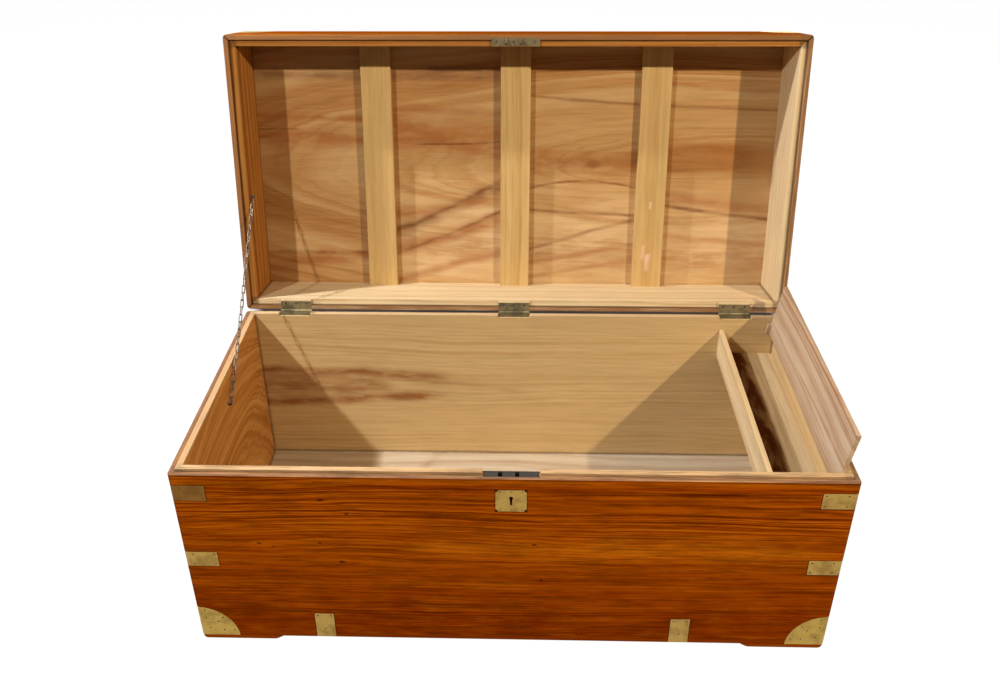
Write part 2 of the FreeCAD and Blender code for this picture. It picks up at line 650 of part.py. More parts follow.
# The lever lies in front of the bolt, turns on the left post and carries its own flat spring.
lever_front = "lock_front + lock_wall + knuckle_gap"
lever_start = "-post_left - lever_tail"
lever_top = "post_up + lever_width"
lock_lever = cut(
    "lever_bored",
    fuse("lever_form",
         block("lever_bar", (lever_start, lever_front, "post_up - lever_width / 2"),
               ("post_left + lever_tail + lever_reach", "lever_thick", "lever_width")),
         block("lever_belly_form", ("-lever_belly / 2", lever_front, "post_up - lever_width"),
               ("lever_belly", "lever_thick", "lever_width")),
         block("lever_spring_form", (lever_start, lever_front, f"{lever_top} - lever_spring"),
               ("post_left + lever_tail", "lever_thick", "lever_spring")),
         block("lever_root", (lever_start, lever_front, "post_up"),
               ("lever_tail / 2", "lever_thick", "lever_width"))),
    rod("lever_hole", ("-post_left", "lock_front", "post_up"), "post_radius + running_gap", "board", "y"))

loops = []
for number, at in enumerate(LOOP_PLACES):
    start = f"{at} - loop_thick / 2"
    bow_up = "lid_rim - loop_drop + loop_width / 2"
    loops.append(cut(
        f"loop_{number}",
        fuse(f"loop_form_{number}",
             block(f"loop_leg_{number}", (start, "lock_middle - loop_width / 2", bow_up),
                   ("loop_thick", "loop_width", f"lid_rim + lock_plate / 2 - ({bow_up})")),
             rod(f"loop_bow_{number}", (start, "lock_middle", bow_up), "loop_width / 2", "loop_thick", "x")),
        rod(f"loop_eye_{number}", (f"{start} - past", "lock_middle", "loop_eye"), "loop_hole",
            "loop_thick + 2 * past", "x")))
link_blank = block("link_blank", ("-lock_length / 2", "lock_front", "lid_rim"),
                   ("lock_length", "lock_width", "lock_plate"))
link_plate = fuse("link_plate_form", link_blank, *loops)

# ----------------------------------------------------------------------------------------- till
till_front = cut(
    "till_front_grooved",
    block("till_front_blank", ("till_edge - till_wall", "-till_length / 2", "till_floor - till_bottom"),
          ("till_wall", "till_length", "till_top - till_floor + till_bottom")),
    block("till_groove_form",
          ("till_edge - till_wall - past", "-till_length / 2 - past", "till_top - till_groove_drop"),
          ("past + till_groove / 2", "till_length + 2 * past", "till_groove")))
till_bottom = block("till_bottom_board", ("till_edge", "-till_length / 2", "till_floor - till_bottom"),
                    ("till_width", "till_length", "till_bottom"))


def along_y(edge):
    box = edge.BoundBox
    return box.YLength > SHORT_EDGE and box.XLength < NO_LENGTH and box.ZLength < NO_LENGTH


till_lid_foot = "till_top + till_lid_gap"
till_board = fillet(
    "till_board_round",
    block("till_board", ("till_lid_edge", "-till_lid_length / 2", till_lid_foot),
          ("till_axis_side + till_heel - till_lid_edge", "till_lid_length", "till_lid_thick")),
    size("till_lid_round"), along_y)
till_ears = [
    block(f"till_ear_{number}", ("till_axis_side - till_ear", at, f"{till_lid_foot} - till_ear_drop"),
          ("till_ear + till_heel", "till_ear_width", "till_ear_drop + till_lid_thick / 2"))
    for number, at in enumerate(("-till_lid_length / 2", "till_lid_length / 2 - till_ear_width"))]
till_pivots = rod("till_pivots", ("till_axis_side", "-till_length / 2", "till_axis_up"), "till_pivot",
                  "till_length", "y")
till_lid = fuse("till_lid_form", till_board, till_pivots, *till_ears)
pivot_holes = rod("pivot_holes", ("till_axis_side", "-till_length / 2 - past", "till_axis_up"),
                  "till_pivot + running_gap", "till_length + 2 * past", "y")


# -------------------------------------------------------------------------------- end handles
def along_x(edge):
    box = edge.BoundBox
    return box.XLength > SHORT_EDGE and box.YLength < NO_LENGTH and box.ZLength < NO_LENGTH


handle_plate = fillet(
    "handle_plate",
    block("handle_plate_plain",
          ("half_width - brass", "-handle_width / 2", "handle_rise - handle_height / 2"),
          ("brass", "handle_width", "handle_height")), size("handle_corner"), along_x)
pan_outer = fillet(
    "pan_outer",
    block("pan_outer_plain",
          ("pan_back - pan_wall", "-pan_width / 2 - pan_wall", "handle_rise - pan_height / 2 - pan_wall"),
          ("pan_depth + pan_wall", "pan_width + 2 * pan_wall", "pan_height + 2 * pan_wall")),
    size("pan_corner") + size("pan_wall"), along_x)
pan_inner = fillet(
    "pan_inner",
    block("pan_inner_plain", ("pan_back", "-pan_width / 2", "handle_rise - pan_height / 2"),
          ("pan_depth + past", "pan_width", "pan_height")), size("pan_corner"), along_x)
lug_start = "bail_width / 2 + bail_radius + bail_gap"
lugs = [
    block(f"lug_{number}", ("pan_back - pan_wall / 2", at, "bail_axis_up - lug_height / 2"),
          ("pan_depth + pan_wall / 2 - brass / 2", f"(pan_width + pan_wall) / 2 - ({lug_start})",
           "lug_height"))
    for number, at in enumerate((lug_start, "-pan_width / 2 - pan_wall / 2"))]
lug_bore = rod("lug_bore", ("bail_side", "-pan_width / 2", "bail_axis_up"), "bail_pivot + running_gap",
               "pan_width", "y")
cup_shell = cut("cup_shell", fuse("cup_form", handle_plate, pan_outer), pan_inner)
handle_cup = cut("handle_cup", fuse("cup_with_lugs", cup_shell, *lugs), lug_bore, cup_screws)
handle_recess = fuse("handle_recess", handle_plate, pan_outer)

bail_foot = "bail_axis_up - bail_drop"
stub_length = "(pan_width - bail_width) / 2 - bail_gap"
bail_parts = [rod("bail_grip", ("bail_side", "-bail_width / 2", bail_foot), "bail_radius", "bail_width", "y")]
for number, (at, stub) in enumerate((("-bail_width / 2", "bail_gap - pan_width / 2"),
                                     ("bail_width / 2", "bail_width / 2"))):
    bail_parts += [
        rod(f"bail_leg_{number}", ("bail_side", at, bail_foot), "bail_radius", "bail_drop", "z"),
        ball(f"bail_elbow_{number}", ("bail_side", at, bail_foot), "bail_radius"),
        ball(f"bail_shoulder_{number}", ("bail_side", at, "bail_axis_up"), "bail_radius"),
        rod(f"bail_stub_{number}", ("bail_side", stub, "bail_axis_up"), "bail_pivot", stub_length, "y")]
bail = fuse("bail_form", *bail_parts)

# -------------------------------------------------------------------------------- stay chain
chain_side = size("chain_stand") - size("inner_side")
base_anchor = FreeCAD.Vector(chain_side, half_depth - size("chain_base_setback"),
                             size("ledge_top") - size("chain_base_drop"))
hinge_axis = FreeCAD.Vector(0, size("axis_back"), size("axis_up"))
ACROSS_WALL = FreeCAD.Vector(1, 0, 0)
opening = FreeCAD.Rotation(ACROSS_WALL, -size("lid_open"))
closed_anchor = FreeCAD.Vector(chain_side, half_depth - size("chain_lid_reach"),
                               size("lid_rim") + size("chain_lid_rise"))
lid_anchor = hinge_axis + opening.multVec(closed_anchor - hinge_axis)
chain_run = lid_anchor - base_anchor
chain_way = FreeCAD.Vector(chain_run).normalize()
across_chain = chain_way.cross(ACROSS_WALL)
staple_radius = size("staple_wire") / 2
end_reach = chain_way * (staple_radius + size("chain_slack") / 2)
chain_start = base_anchor - end_reach
chain_length = (lid_anchor + end_reach - chain_start).Length
link_count = 2 * round(chain_length / size("chain_pitch") / 2) + 1
link_step = chain_length / link_count


def link(centre, side):
    """One link of bent wire: its middle line is two straights joined by half circles."""
    wire = size("chain_wire")
    radius = (size("chain_width") - wire) / 2
    half = (link_step + size("chain_slack") + wire) / 2 - radius
    ends = []
    for way in (chain_way, -chain_way):
        bend = centre + way * half
        ends.append((bend + side * radius, bend + way * radius, bend - side * radius))
    far, near = ends
    middle_line = Part.Wire([
        Part.Arc(*far).toShape(), Part.LineSegment(far[2], near[2]).toShape(),
        Part.Arc(near[2], near[1], near[0]).toShape(), Part.LineSegment(near[0], far[0]).toShape()])
    section = Part.Wire([Part.makeCircle(wire / 2, far[0], chain_way)])
    return Part.Solid(middle_line.makePipe(section))


links = [link(chain_start + chain_way * (link_step * (number + 0.5)),
              ACROSS_WALL if number % 2 == 0 else across_chain)
         for number in range(link_count)]


def staple(anchor):
    """A bent wire staple: a bar across the chain, and two legs driven into the end board."""
    bend = 2 * staple_radius
    half = size("staple_legs") / 2
    leg = -ACROSS_WALL * (size("chain_stand") + size("staple_hold"))
    path = []
    for way in (across_chain, -across_chain):
        corner = anchor + way * half
        onto_bar = corner - way * bend
        onto_leg = corner - ACROSS_WALL * bend
        middle = corner - (way + ACROSS_WALL) * (bend * (1 - math.sqrt(0.5)))
        path.append((corner + leg, onto_leg, middle, onto_bar))
    (top, top_leg, top_bend, top_bar), (foot, foot_leg, foot_bend, foot_bar) = path
    wire = Part.Wire([
        Part.LineSegment(top, top_leg).toShape(), Part.Arc(top_leg, top_bend, top_bar).toShape(),
        Part.LineSegment(top_bar, foot_bar).toShape(), Part.Arc(foot_bar, foot_bend, foot_leg).toShape(),
        Part.LineSegment(foot_leg, foot).toShape()])
    section = Part.Wire([Part.makeCircle(staple_radius, top, ACROSS_WALL)])
    return wire.makePipeShell([section], True, True)


base_staple = feature("base_staple", [staple(base_anchor)])
lid_staple = feature("lid_staple", [staple(lid_anchor)])
turned_staple = staple(lid_anchor)
turned_staple.rotate(hinge_axis, ACROSS_WALL, size("lid_open"))
lid_staple_hole = feature("lid_staple_hole", [turned_staple])

# ------------------------------------------------------------------------- boards of the case
till_tools = [till_front, till_bottom, pivot_holes]
corner_brasswork = fuse("corner_brasswork", upper_strap, middle_strap, corner_brass, case_corner_pins)
front_brasswork = both("front_brasswork", corner_brasswork, LEFT_RIGHT)
right_brasswork = both("right_brasswork", corner_brasswork, FRONT_BACK)
front_plain = cut("front_plain", common("front_form", case_front, case_form), case_end_right, case_end_left,
                  front_brasswork, *edge_straps, front_edge_pins, *till_tools)
node("front_board", cut("front_shaped", front_plain, tongue_stop, lock_pocket, keyhole, escutcheon_blank,
                        escutcheon_pins, selvedge_screws))
node("back_board", cut("back_shaped", mirror("back_plain", front_plain, FRONT_BACK), *hinge_stops,
                       fuse("case_hinge_room", *knuckle_rooms, *base_leaves.values()), base_leaf_screws))
right_end = cut("right_end", common("right_form", case_end_right, case_form), right_brasswork,
                handle_recess, cup_screws)
node("right_end_board", right_end)
node("left_end_board", cut("left_end", mirror("left_form", right_end, LEFT_RIGHT), base_staple))

bottom_form = common("bottom_form", fuse(
    "bottom_steps",
    block("bottom_lip_form", ("-half_width", "-half_depth", "foot_height"),
          ("chest_width", "chest_depth", "bottom_lip")),
    block("bottom_inner", ("-inner_side", "-inner_back", "foot_height"),
          ("inner_width", "inner_depth", "bottom_thick"))), case_form)
PLANKS = ("front", "middle", "back")
planks = {}
for number, name in enumerate(PLANKS):
    strip = block("strip_" + name,
                  ("-half_width", f"-half_depth + {number} * chest_depth / 3", "foot_height"),
                  ("chest_width", "chest_depth / 3", "bottom_thick"))
    planks[name] = common("plank_form_" + name, strip, bottom_form)
front_plank = cut("front_plank", planks["front"], front_brasswork, *edge_straps, front_edge_pins)
node("bottom_plank_front", front_plank)
node("bottom_plank_middle", planks["middle"])
node("bottom_plank_back", mirror("back_plank", front_plank, FRONT_BACK))

foot_form = rounded_block(
    "foot_form", ("-half_width", "-half_depth", "0"), ("chest_width", "chest_depth", "foot_height"),
    size("foot_corner"), [(0.0, size("foot_round"))])
foot_block = block("foot_block", ("half_width - foot_length - foot_slope", "-half_depth", "0"),
                   ("foot_length + foot_slope", "foot_depth", "foot_height"))
foot_bevel = wedge("foot_bevel", ("0", "foot_slope"), ("0", "0"), ("0", "foot_height"),
                   ("0", "foot_depth"), ("0", "foot_depth"))
foot_bevel.Placement.Rotation = FreeCAD.Rotation(ACROSS_WALL, 90)
bind(foot_bevel, Placement__Base__x="half_width - foot_length - foot_slope",
     Placement__Base__y="foot_depth - half_depth", Placement__Base__z="0")
foot = common("foot_shaped", cut("foot_cut", foot_block, foot_bevel), foot_form)
for corner, shape in to_corners("foot", foot).items():
    node("foot_" + corner, shape)

# ------------------------------------------------------------------------- brass of the case
CASE_BRASSES = {"upper_strap": upper_strap, "middle_strap": middle_strap, "corner_brass": corner_brass}
for name, strap in CASE_BRASSES.items():
    drilled = cut(name + "_drilled", strap, case_corner_pins)
    for corner, shape in to_corners(name, drilled).items():
        node(f"{name}_{corner}", shape)
drilled_straps = [cut(f"edge_strap_drilled_{number}", strap, front_edge_pins)
                  for number, strap in enumerate(edge_straps)]
group("bottom_edge_straps", drilled_straps + [
    mirror(f"edge_strap_back_{number}", strap, FRONT_BACK) for number, strap in enumerate(drilled_straps)])
node("escutcheon", cut("escutcheon_form", escutcheon_blank, *notches, keyhole, escutcheon_pins))
group("base_fasteners", [
    all_corners("case_pins", case_corner_pins), both("all_edge_pins", front_edge_pins, FRONT_BACK),
    escutcheon_pins, base_leaf_screws, selvedge_screws, cup_screws, cup_screws_left])
for side, shape in base_leaves.items():
    node("base_hinge_leaf_" + side, cut("base_leaf_drilled_" + side, shape, base_leaf_screws))
group("hinge_pins", hinge_pins)
node("lock_plate", cut("lock_plate_drilled", lock_plate, selvedge_screws))
node("lock_case", lock_case)
node("lock_key_pin", key_pin)
node("lock_bolt", lock_bolt)
node("lock_lever", lock_lever)
node("handle_cup_right", handle_cup)
node("handle_cup_left", mirror("cup_left", handle_cup, LEFT_RIGHT))
node("handle_bail_right", bail)
node("handle_bail_left", mirror("bail_left", bail, LEFT_RIGHT))

# ------------------------------------------------------------------------------ till and chain
node("till_front", till_front)
node("till_bottom", till_bottom)
node("till_lid", till_lid, TILL_SWING)
group("chain_staple_base", [base_staple])
group("chain_staple_lid", [lid_staple])
group("stay_chain", [feature("chain_links", links)])

# ----------------------------------------------------------------------------- boards of the lid
lid_form = cut("lid_form", lid_body, cut("recess_tool", recess, link_seat, *hinge_seats))
cap_and_pins = fuse("cap_and_pins", lid_brass, lid_corner_pins)
front_caps = both("front_caps", cap_and_pins, LEFT_RIGHT)
right_caps = both("right_caps", cap_and_pins, FRONT_BACK)
node("lid_front_board", cut(
    "lid_front_shaped", common("lid_front_form", lid_front, lid_form), lid_end_right, lid_end_left,
    front_caps, link_blank, link_screws), LID_SWING)
node("lid_back_board", cut(
    "lid_back_shaped", common("lid_back_form", mirror("lid_back", lid_front, FRONT_BACK), lid_form),
    lid_end_right, lid_end_left, mirror("back_caps", front_caps, FRONT_BACK),
    fuse("lid_hinge_room", *knuckle_rooms, *lid_leaves.values()), lid_leaf_screws), LID_SWING)
lid_right = cut("lid_right", common("lid_right_form", lid_end_right, lid_form), right_caps)
node("lid_right_board", lid_right, LID_SWING)
node("lid_left_board", cut("lid_left_shaped", mirror("lid_left", lid_right, LEFT_RIGHT), lid_staple_hole),
     LID_SWING)
panel = block("panel", ("-half_width", "-half_depth", "panel_foot"),
              ("chest_width", "chest_depth", "lid_panel"))
node("lid_top_panel", cut("panel_shaped", common("panel_form", panel, lid_form), front_caps,
                          mirror("panel_back_caps", front_caps, FRONT_BACK)), LID_SWING)
for side, middle in (("left", "-batten_middle"), ("centre", "0"), ("right", "batten_middle")):
    batten = block("batten_" + side,
                   (f"{middle} - batten_width / 2", "-inner_back", "panel_foot - batten_thick"),
                   ("batten_width", "inner_depth", "batten_thick"))
    node("lid_batten_" + side, batten, LID_SWING)
cap_drilled = cut("cap_drilled", lid_brass, lid_corner_pins)
group("lid_corner_brasses", to_corners("lid_brass", cap_drilled).values(), LID_SWING)
for side, shape in lid_leaves.items():
    node("lid_hinge_leaf_" + side, cut("lid_leaf_drilled_" + side, shape, lid_leaf_screws), LID_SWING)
node("link_plate", cut("link_plate_drilled", link_plate, link_screws), LID_SWING)
group("lid_fasteners", [all_corners("lid_pins", lid_corner_pins), lid_leaf_screws, link_screws], LID_SWING)

# ------------------------------------------------------------------------- check, then write
doc.recompute()
failed = [thing.Label for thing in doc.Objects if "Invalid" in thing.State or "Error" in thing.State]
if failed:
    raise RuntimeError("these objects failed: " + ", ".join(failed))
broken = [piece.Label for piece in NODES
          if piece.Shape.isNull() or not piece.Shape.isValid() or not piece.Shape.Solids]
if broken:
    raise RuntimeError("no valid solid in " + ", ".join(broken))
for piece in NODES:
    piece.Shape.exportStep(f"parts/{piece.Label}.step")
print(len(NODES), "nodes,", sum(len(piece.Shape.Solids) for piece in NODES), "solids")
print(f"the lid opens {size('lid_open'):.1f} degrees, the till lid {size('till_open'):.2f} degrees")
print(f"the case stands {size('forward'):.3f} mm forward of the origin")
print(f"stay chain: {link_count} links of {link_step:.2f} mm, {chain_run.Length:.1f} mm between its staples")
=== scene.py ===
# %% [markdown]
# # A camphor-wood blanket chest
# This lesson dresses a finished model of a brass-bound blanket chest. The model brings its
# pieces in their true places: boards, lid, till, hinges, lock and chain. What is left to
# make is how they look: the grain of each board, the worn polish outside and the raw wood
# inside, old brass, iron screws and a real chain. Lengths are in metres, but the tables of
# knots and streaks give millimetres, which are easier to read.

# %% Load the chest
import json
import math
import bmesh
import bpy
from mathutils import Euler, Matrix, Vector


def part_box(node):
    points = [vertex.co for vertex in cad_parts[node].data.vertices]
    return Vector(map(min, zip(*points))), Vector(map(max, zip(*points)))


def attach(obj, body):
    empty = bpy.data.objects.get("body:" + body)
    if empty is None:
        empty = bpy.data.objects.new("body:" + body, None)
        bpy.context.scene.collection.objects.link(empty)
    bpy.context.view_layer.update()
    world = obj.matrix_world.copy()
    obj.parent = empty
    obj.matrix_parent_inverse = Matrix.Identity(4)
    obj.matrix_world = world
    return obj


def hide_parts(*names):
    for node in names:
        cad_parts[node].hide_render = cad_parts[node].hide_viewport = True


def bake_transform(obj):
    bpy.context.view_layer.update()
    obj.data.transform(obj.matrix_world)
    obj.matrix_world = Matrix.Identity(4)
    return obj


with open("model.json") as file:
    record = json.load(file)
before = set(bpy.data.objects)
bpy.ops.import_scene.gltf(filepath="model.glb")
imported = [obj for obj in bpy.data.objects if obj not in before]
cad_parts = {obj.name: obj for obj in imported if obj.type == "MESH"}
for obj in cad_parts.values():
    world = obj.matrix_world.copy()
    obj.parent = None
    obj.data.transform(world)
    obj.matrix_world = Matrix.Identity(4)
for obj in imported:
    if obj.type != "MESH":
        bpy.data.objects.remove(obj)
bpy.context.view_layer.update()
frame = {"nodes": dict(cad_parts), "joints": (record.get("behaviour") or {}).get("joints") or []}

pieces = frame["nodes"]
joints = {joint["name"]: joint for joint in frame["joints"]}

# %% [markdown]
# ## Where the chest stands
# The open lid reaches far behind the case, and the model's origin is under the middle of
# both. Patterns are easier to place from the middle of the case with the lid shut, so a
# few lengths come first: where the case's middle is, where the lid's and the till lid's
# hinge lines are, how far both stand open, and how large the shut chest is.

# %% The case's middle and the hinge lines
front_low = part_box("bottom_plank_front")[0]
back_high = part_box("bottom_plank_back")[1]
CASE_MIDDLE = Vector((0, (front_low.y + back_high.y) / 2, 0))
LID_LINE = Vector(joints["lid_hinge"]["pos_m"])
TILL_LINE = Vector(joints["till_lid_hinge"]["pos_m"])
LID_OPEN = math.radians(101)
TILL_OPEN = math.radians(99.53)
HALF_LENGTH, HALF_DEPTH = 0.525, 0.2575
LEDGE_TOP, LID_RIM, LID_TOP = 0.354, 0.3544, 0.4944
INNER_LENGTH, INNER_DEPTH, FLOOR_TOP = 0.505, 0.2375, 0.027
print("case middle", CASE_MIDDLE, "lid hinge", LID_LINE, "till hinge", TILL_LINE)

# %% [markdown]
# ## The camera
# A real camera is described by where it stands, where it looks and how far it zooms. The
# view is from 1.3 metres up, a long step in front of the chest and almost in its middle,
# tilted down by 31 degrees. The focal length and the axis are in pixels of a picture that is
# 1000 pixels wide. The lens shift moves the picture by a few pixels, as a view camera does.

# %% Stand the camera
def new_object(name, data):
    """A new object in the scene."""
    made = bpy.data.objects.new(name, data)
    bpy.context.scene.collection.objects.link(made)
    return made


camera = new_object("camera", bpy.data.cameras.new("camera"))
bpy.context.scene.camera = camera
STAND = Vector((0.0076, -1.4210, 1.2916))
YAW, PITCH, ROLL = (math.radians(angle) for angle in (-1.7962, 31.4164, -0.4150))
WIDTH, HEIGHT, SENSOR = 1000, 678, 36
FOCUS, AXIS = 983.10, (491.10, 350.96)
forward = Vector((math.sin(YAW) * math.cos(PITCH), math.cos(YAW) * math.cos(PITCH), -math.sin(PITCH)))
level = forward.cross(Vector((0, 0, 1))).normalized()
above = level.cross(forward)
right = math.cos(ROLL) * level + math.sin(ROLL) * above
upward = math.cos(ROLL) * above - math.sin(ROLL) * level
turn = Matrix((right, upward, -forward)).transposed().to_4x4()
camera.matrix_world = Matrix.Translation(STAND + CASE_MIDDLE) @ turn
camera.data.sensor_width = SENSOR
camera.data.lens = FOCUS / WIDTH * SENSOR
camera.data.shift_x = (WIDTH / 2 - AXIS[0]) / WIDTH
camera.data.shift_y = (AXIS[1] - HEIGHT / 2) / WIDTH
print("the camera stands at", [round(place, 3) for place in camera.matrix_world.translation])

# %% [markdown]
# ## Building a material from small steps
# A Blender material is a graph of nodes. Each node is a small sum on the colours or places
# that reach it. The helpers below add one node, set or link its inputs and hand back its
# output, so that a recipe reads as a list of steps. `between` turns a rising value into a
# mask: 0 below the first bound, 1 above the second and smooth in the middle.

# %% Helpers for nodes
def add(tree, kind, inputs=(), **settings):
    """One new node. Its inputs are numbers, colours or the outputs of other nodes."""
    made = tree.nodes.new(kind)
    for name, value in settings.items():
        setattr(made, name, value)
    for name, value in dict(inputs).items():
        if isinstance(value, bpy.types.NodeSocket):
            tree.links.new(value, made.inputs[name])
        else:
            made.inputs[name].default_value = value
    return made


def result_of(tree, kind, inputs=(), **settings):
    """The first output of one new node."""
    return add(tree, kind, inputs, **settings).outputs[0]


def sum_of(tree, operation, *values, clamp=False):
    """The result of one sum on numbers."""
    return result_of(tree, "ShaderNodeMath", enumerate(values), operation=operation, use_clamp=clamp)


def line_of(tree, value, slope, start):
    """A value on a straight line: the given value times the slope, from the start upwards."""
    return sum_of(tree, "MULTIPLY_ADD", value, slope, start)


def product(tree, first, *others):
    """Numbers multiplied with one another."""
    for other in others:
        first = sum_of(tree, "MULTIPLY", first, other)
    return first


def rest_of(tree, value):
    """What is missing from the value to 1."""
    return sum_of(tree, "SUBTRACT", 1, value)


def centred(tree, value):
    """A value between 0 and 1, moved so that it lies about 0."""
    return sum_of(tree, "SUBTRACT", value, 0.5)


def vector_of(tree, operation, *values, result="Vector"):
    """The result of one sum on vectors."""
    return add(tree, "ShaderNodeVectorMath", enumerate(values), operation=operation).outputs[result]


def scaled(tree, vector, size):
    """A vector made longer or shorter by a number."""
    return result_of(tree, "ShaderNodeVectorMath", {0: vector, "Scale": size}, operation="SCALE")


def between(tree, value, low, high):
    """0 where the value is below low, 1 where it is above high, and a soft step between."""
    bounds = {"Value": value, "From Min": low, "From Max": high}
    return result_of(tree, "ShaderNodeMapRange", bounds, interpolation_type="SMOOTHSTEP")


def fading(tree, value, low, high):
    """1 where the value is below low, 0 where it is above high, and a soft step between."""
    return rest_of(tree, between(tree, value, low, high))


def mixed(tree, share, first, second, how="MIX"):
    """One colour mixed into another by a share from 0 to 1."""
    inputs = {0: share, 6: first, 7: second}
    return add(tree, "ShaderNodeMix", inputs, data_type="RGBA", blend_type=how).outputs[2]


def stained(tree, colour, mask, strength, tint):
    """The colour with a tint laid over it where the mask is, as strongly as told."""
    return mixed(tree, product(tree, mask, strength), colour, tint)


def parts_of(tree, vector):
    """The X, Y and Z of a vector."""
    return add(tree, "ShaderNodeSeparateXYZ", {0: vector}).outputs


def vector_from(tree, x=0, y=0, z=0):
    """A vector from three numbers or outputs."""
    return result_of(tree, "ShaderNodeCombineXYZ", {0: x, 1: y, 2: z})


def noise(tree, place, scale, detail=2, roughness=0.55, turns="3D"):
    """A cloudy value about 0.5, from a place in space or, in 1D, from one number. A scale of
    three numbers stretches it."""
    if isinstance(scale, tuple):
        place, scale = vector_of(tree, "MULTIPLY", place, scale), 1
    inputs = {"Scale": scale, "Detail": detail, "Roughness": roughness}
    inputs["W" if turns == "1D" else "Vector"] = place
    return result_of(tree, "ShaderNodeTexNoise", inputs, noise_dimensions=turns)


def new_material(name):
    """A material, its tree and the inputs of its shader."""
    made = bpy.data.materials.new(name)
    made.use_nodes = True
    return made, made.node_tree, made.node_tree.nodes["Principled BSDF"].inputs


def seen_rays(tree):
    """1 for the rays that the camera sees straight, in a mirror or through glass, 0 for others."""
    ray = add(tree, "ShaderNodeLightPath").outputs
    seen = sum_of(tree, "MAXIMUM", ray["Is Camera Ray"], ray["Is Glossy Ray"], clamp=True)
    return sum_of(tree, "MAXIMUM", seen, ray["Is Transmission Ray"], clamp=True)


def rgb(red, green, blue):
    """A colour that fills a colour socket."""
    return (red, green, blue, 1)


# %% [markdown]
# ## The bodies inside one mesh
# Some nodes of the model hold several bodies: all the pins, or the four straps along the
# bottom. Each body is an island, a set of faces joined by edges and not joined to the rest.

# %% Islands of a mesh
def islands(name):
    """The corner points of each separate solid of a piece."""
    shape = bmesh.new()
    shape.from_mesh(pieces[name].data)
    bmesh.ops.remove_doubles(shape, verts=shape.verts, dist=1e-6)
    unseen = set(shape.verts)
    found = []
    while unseen:
        island = [unseen.pop()]
        for vertex in island:
            for edge in vertex.link_edges:
                other = edge.other_vert(vertex)
                if other in unseen:
                    unseen.remove(other)
                    island.append(other)
        found.append([vertex.co.copy() for vertex in island])
    shape.free()
    return found


# %% [markdown]
# ## Helpers for node groups
# An effect that many materials share is built once as a node group, with named inputs and
# outputs, and then placed in each material with its own values. A group is to a material
# what a function is to a script.

# %% Start a group and place a group
def new_group(name, inputs, outputs):
    """An empty shader group, and its input sockets by name."""
    tree = bpy.data.node_groups.new(name, "ShaderNodeTree")
    for label, kind, value in inputs:
        socket = tree.interface.new_socket(label, in_out="INPUT", socket_type="NodeSocket" + kind)
        socket.default_value = value
    for label, kind in outputs:
        tree.interface.new_socket(label, in_out="OUTPUT", socket_type="NodeSocket" + kind)
    return tree, tree.nodes.new("NodeGroupInput").outputs


def close_group(tree, **results):
    """Joins the results to the group's outputs."""
    end = tree.nodes.new("NodeGroupOutput")
    for name, value in results.items():
        tree.links.new(value, end.inputs[name.replace("_", " ")])
    print("group", tree.name, "has", len(tree.nodes), "nodes")


def use(tree, group, **inputs):
    """Places a group in a material and gives its outputs."""
    made = tree.nodes.new("ShaderNodeGroup")
    made.node_tree = group
    for name, value in inputs.items():
        socket = made.inputs[name.replace("_", " ")]
        if isinstance(value, bpy.types.NodeSocket):
            tree.links.new(value, socket)
        else:
            socket.default_value = value
    return made.outputs


# %% [markdown]
# ## The grain of camphor
# A tree grows a ring each year, and a saw cuts through these rings. Cut near the heart, a
# board shows nested ovals or arches. Cut far from it, it shows nearly straight stripes. So
# the group measures how far each point of the board is from the tree's heart, squeezed
# along the grain so that rings become long ovals, and lets a slow noise push that distance
# about, as a real trunk is never round. A one-dimensional noise on the distance then gives
# rings of uneven width and darkness. Because the recipe is solid, the edges of a board
# carry the same rings as its faces. Three layers add up to one tone: wide soft rings,
# narrow streaks that come in patches, and the fibres. The fibres, slow clouds and the short
# dark pores also come out by themselves, for roughness, bump and shading.

# %% Group: camphor grain
grain, give = new_group("camphor grain", [
    ("Place", "Vector", (0, 0, 0)), ("Heart", "Vector", (0, -2, 0)), ("Squeeze", "Float", 12),
    ("Ring", "Float", 0.02), ("Swirl", "Float", 0.03), ("Bands", "Float", 0.4), ("Seed", "Float", 0)],
    [("Tone", "Float"), ("Fibre", "Float"), ("Cloud", "Float"), ("Pores", "Float")])
drift = scaled(grain, (1.7, 2.3, 3.1), give["Seed"])
moved = vector_of(grain, "ADD", give["Place"], drift)
slow = noise(grain, moved, (1.3, 5, 5), 2)
quick = noise(grain, moved, (7, 45, 45), 3)
wander = sum_of(grain, "ADD", centred(grain, slow), product(grain, centred(grain, quick), 0.13))
squeeze = vector_from(grain, sum_of(grain, "DIVIDE", 1, give["Squeeze"]), 1, 1)
from_heart = vector_of(grain, "MULTIPLY", vector_of(grain, "SUBTRACT", give["Place"], give["Heart"]),
                       squeeze)
distance = vector_of(grain, "LENGTH", from_heart, result="Value")
rings = sum_of(grain, "DIVIDE", line_of(grain, wander, give["Swirl"], distance), give["Ring"])
wide = between(grain, noise(grain, rings, 1, 2, 0.5, "1D"), 0.26, 0.74)
patches = between(grain, noise(grain, moved, (1.6, 9, 9), 2), 0.35, 0.65)
narrow = between(grain, noise(grain, product(grain, rings, 4.3), 1, 4, 0.62, "1D"), 0.25, 0.75)
strong = line_of(grain, patches, 0.75, 0.25)
streaky = line_of(grain, centred(grain, narrow), strong, 0.5)
fibre = noise(grain, moved, (8, 260, 260), 3, 0.7)
cloud = noise(grain, moved, (3, 8, 8), 3, 0.6)
pores = between(grain, noise(grain, moved, (11, 130, 130), 3, 0.68), 0.34, 0.62)
rest = rest_of(grain, give["Bands"])
fine = line_of(grain, between(grain, fibre, 0.28, 0.72), 0.3, product(grain, streaky, 0.7))
tone = line_of(grain, wide, give["Bands"], product(grain, fine, rest))
close_group(grain, Tone=tone, Fibre=fibre, Cloud=cloud, Pores=pores)

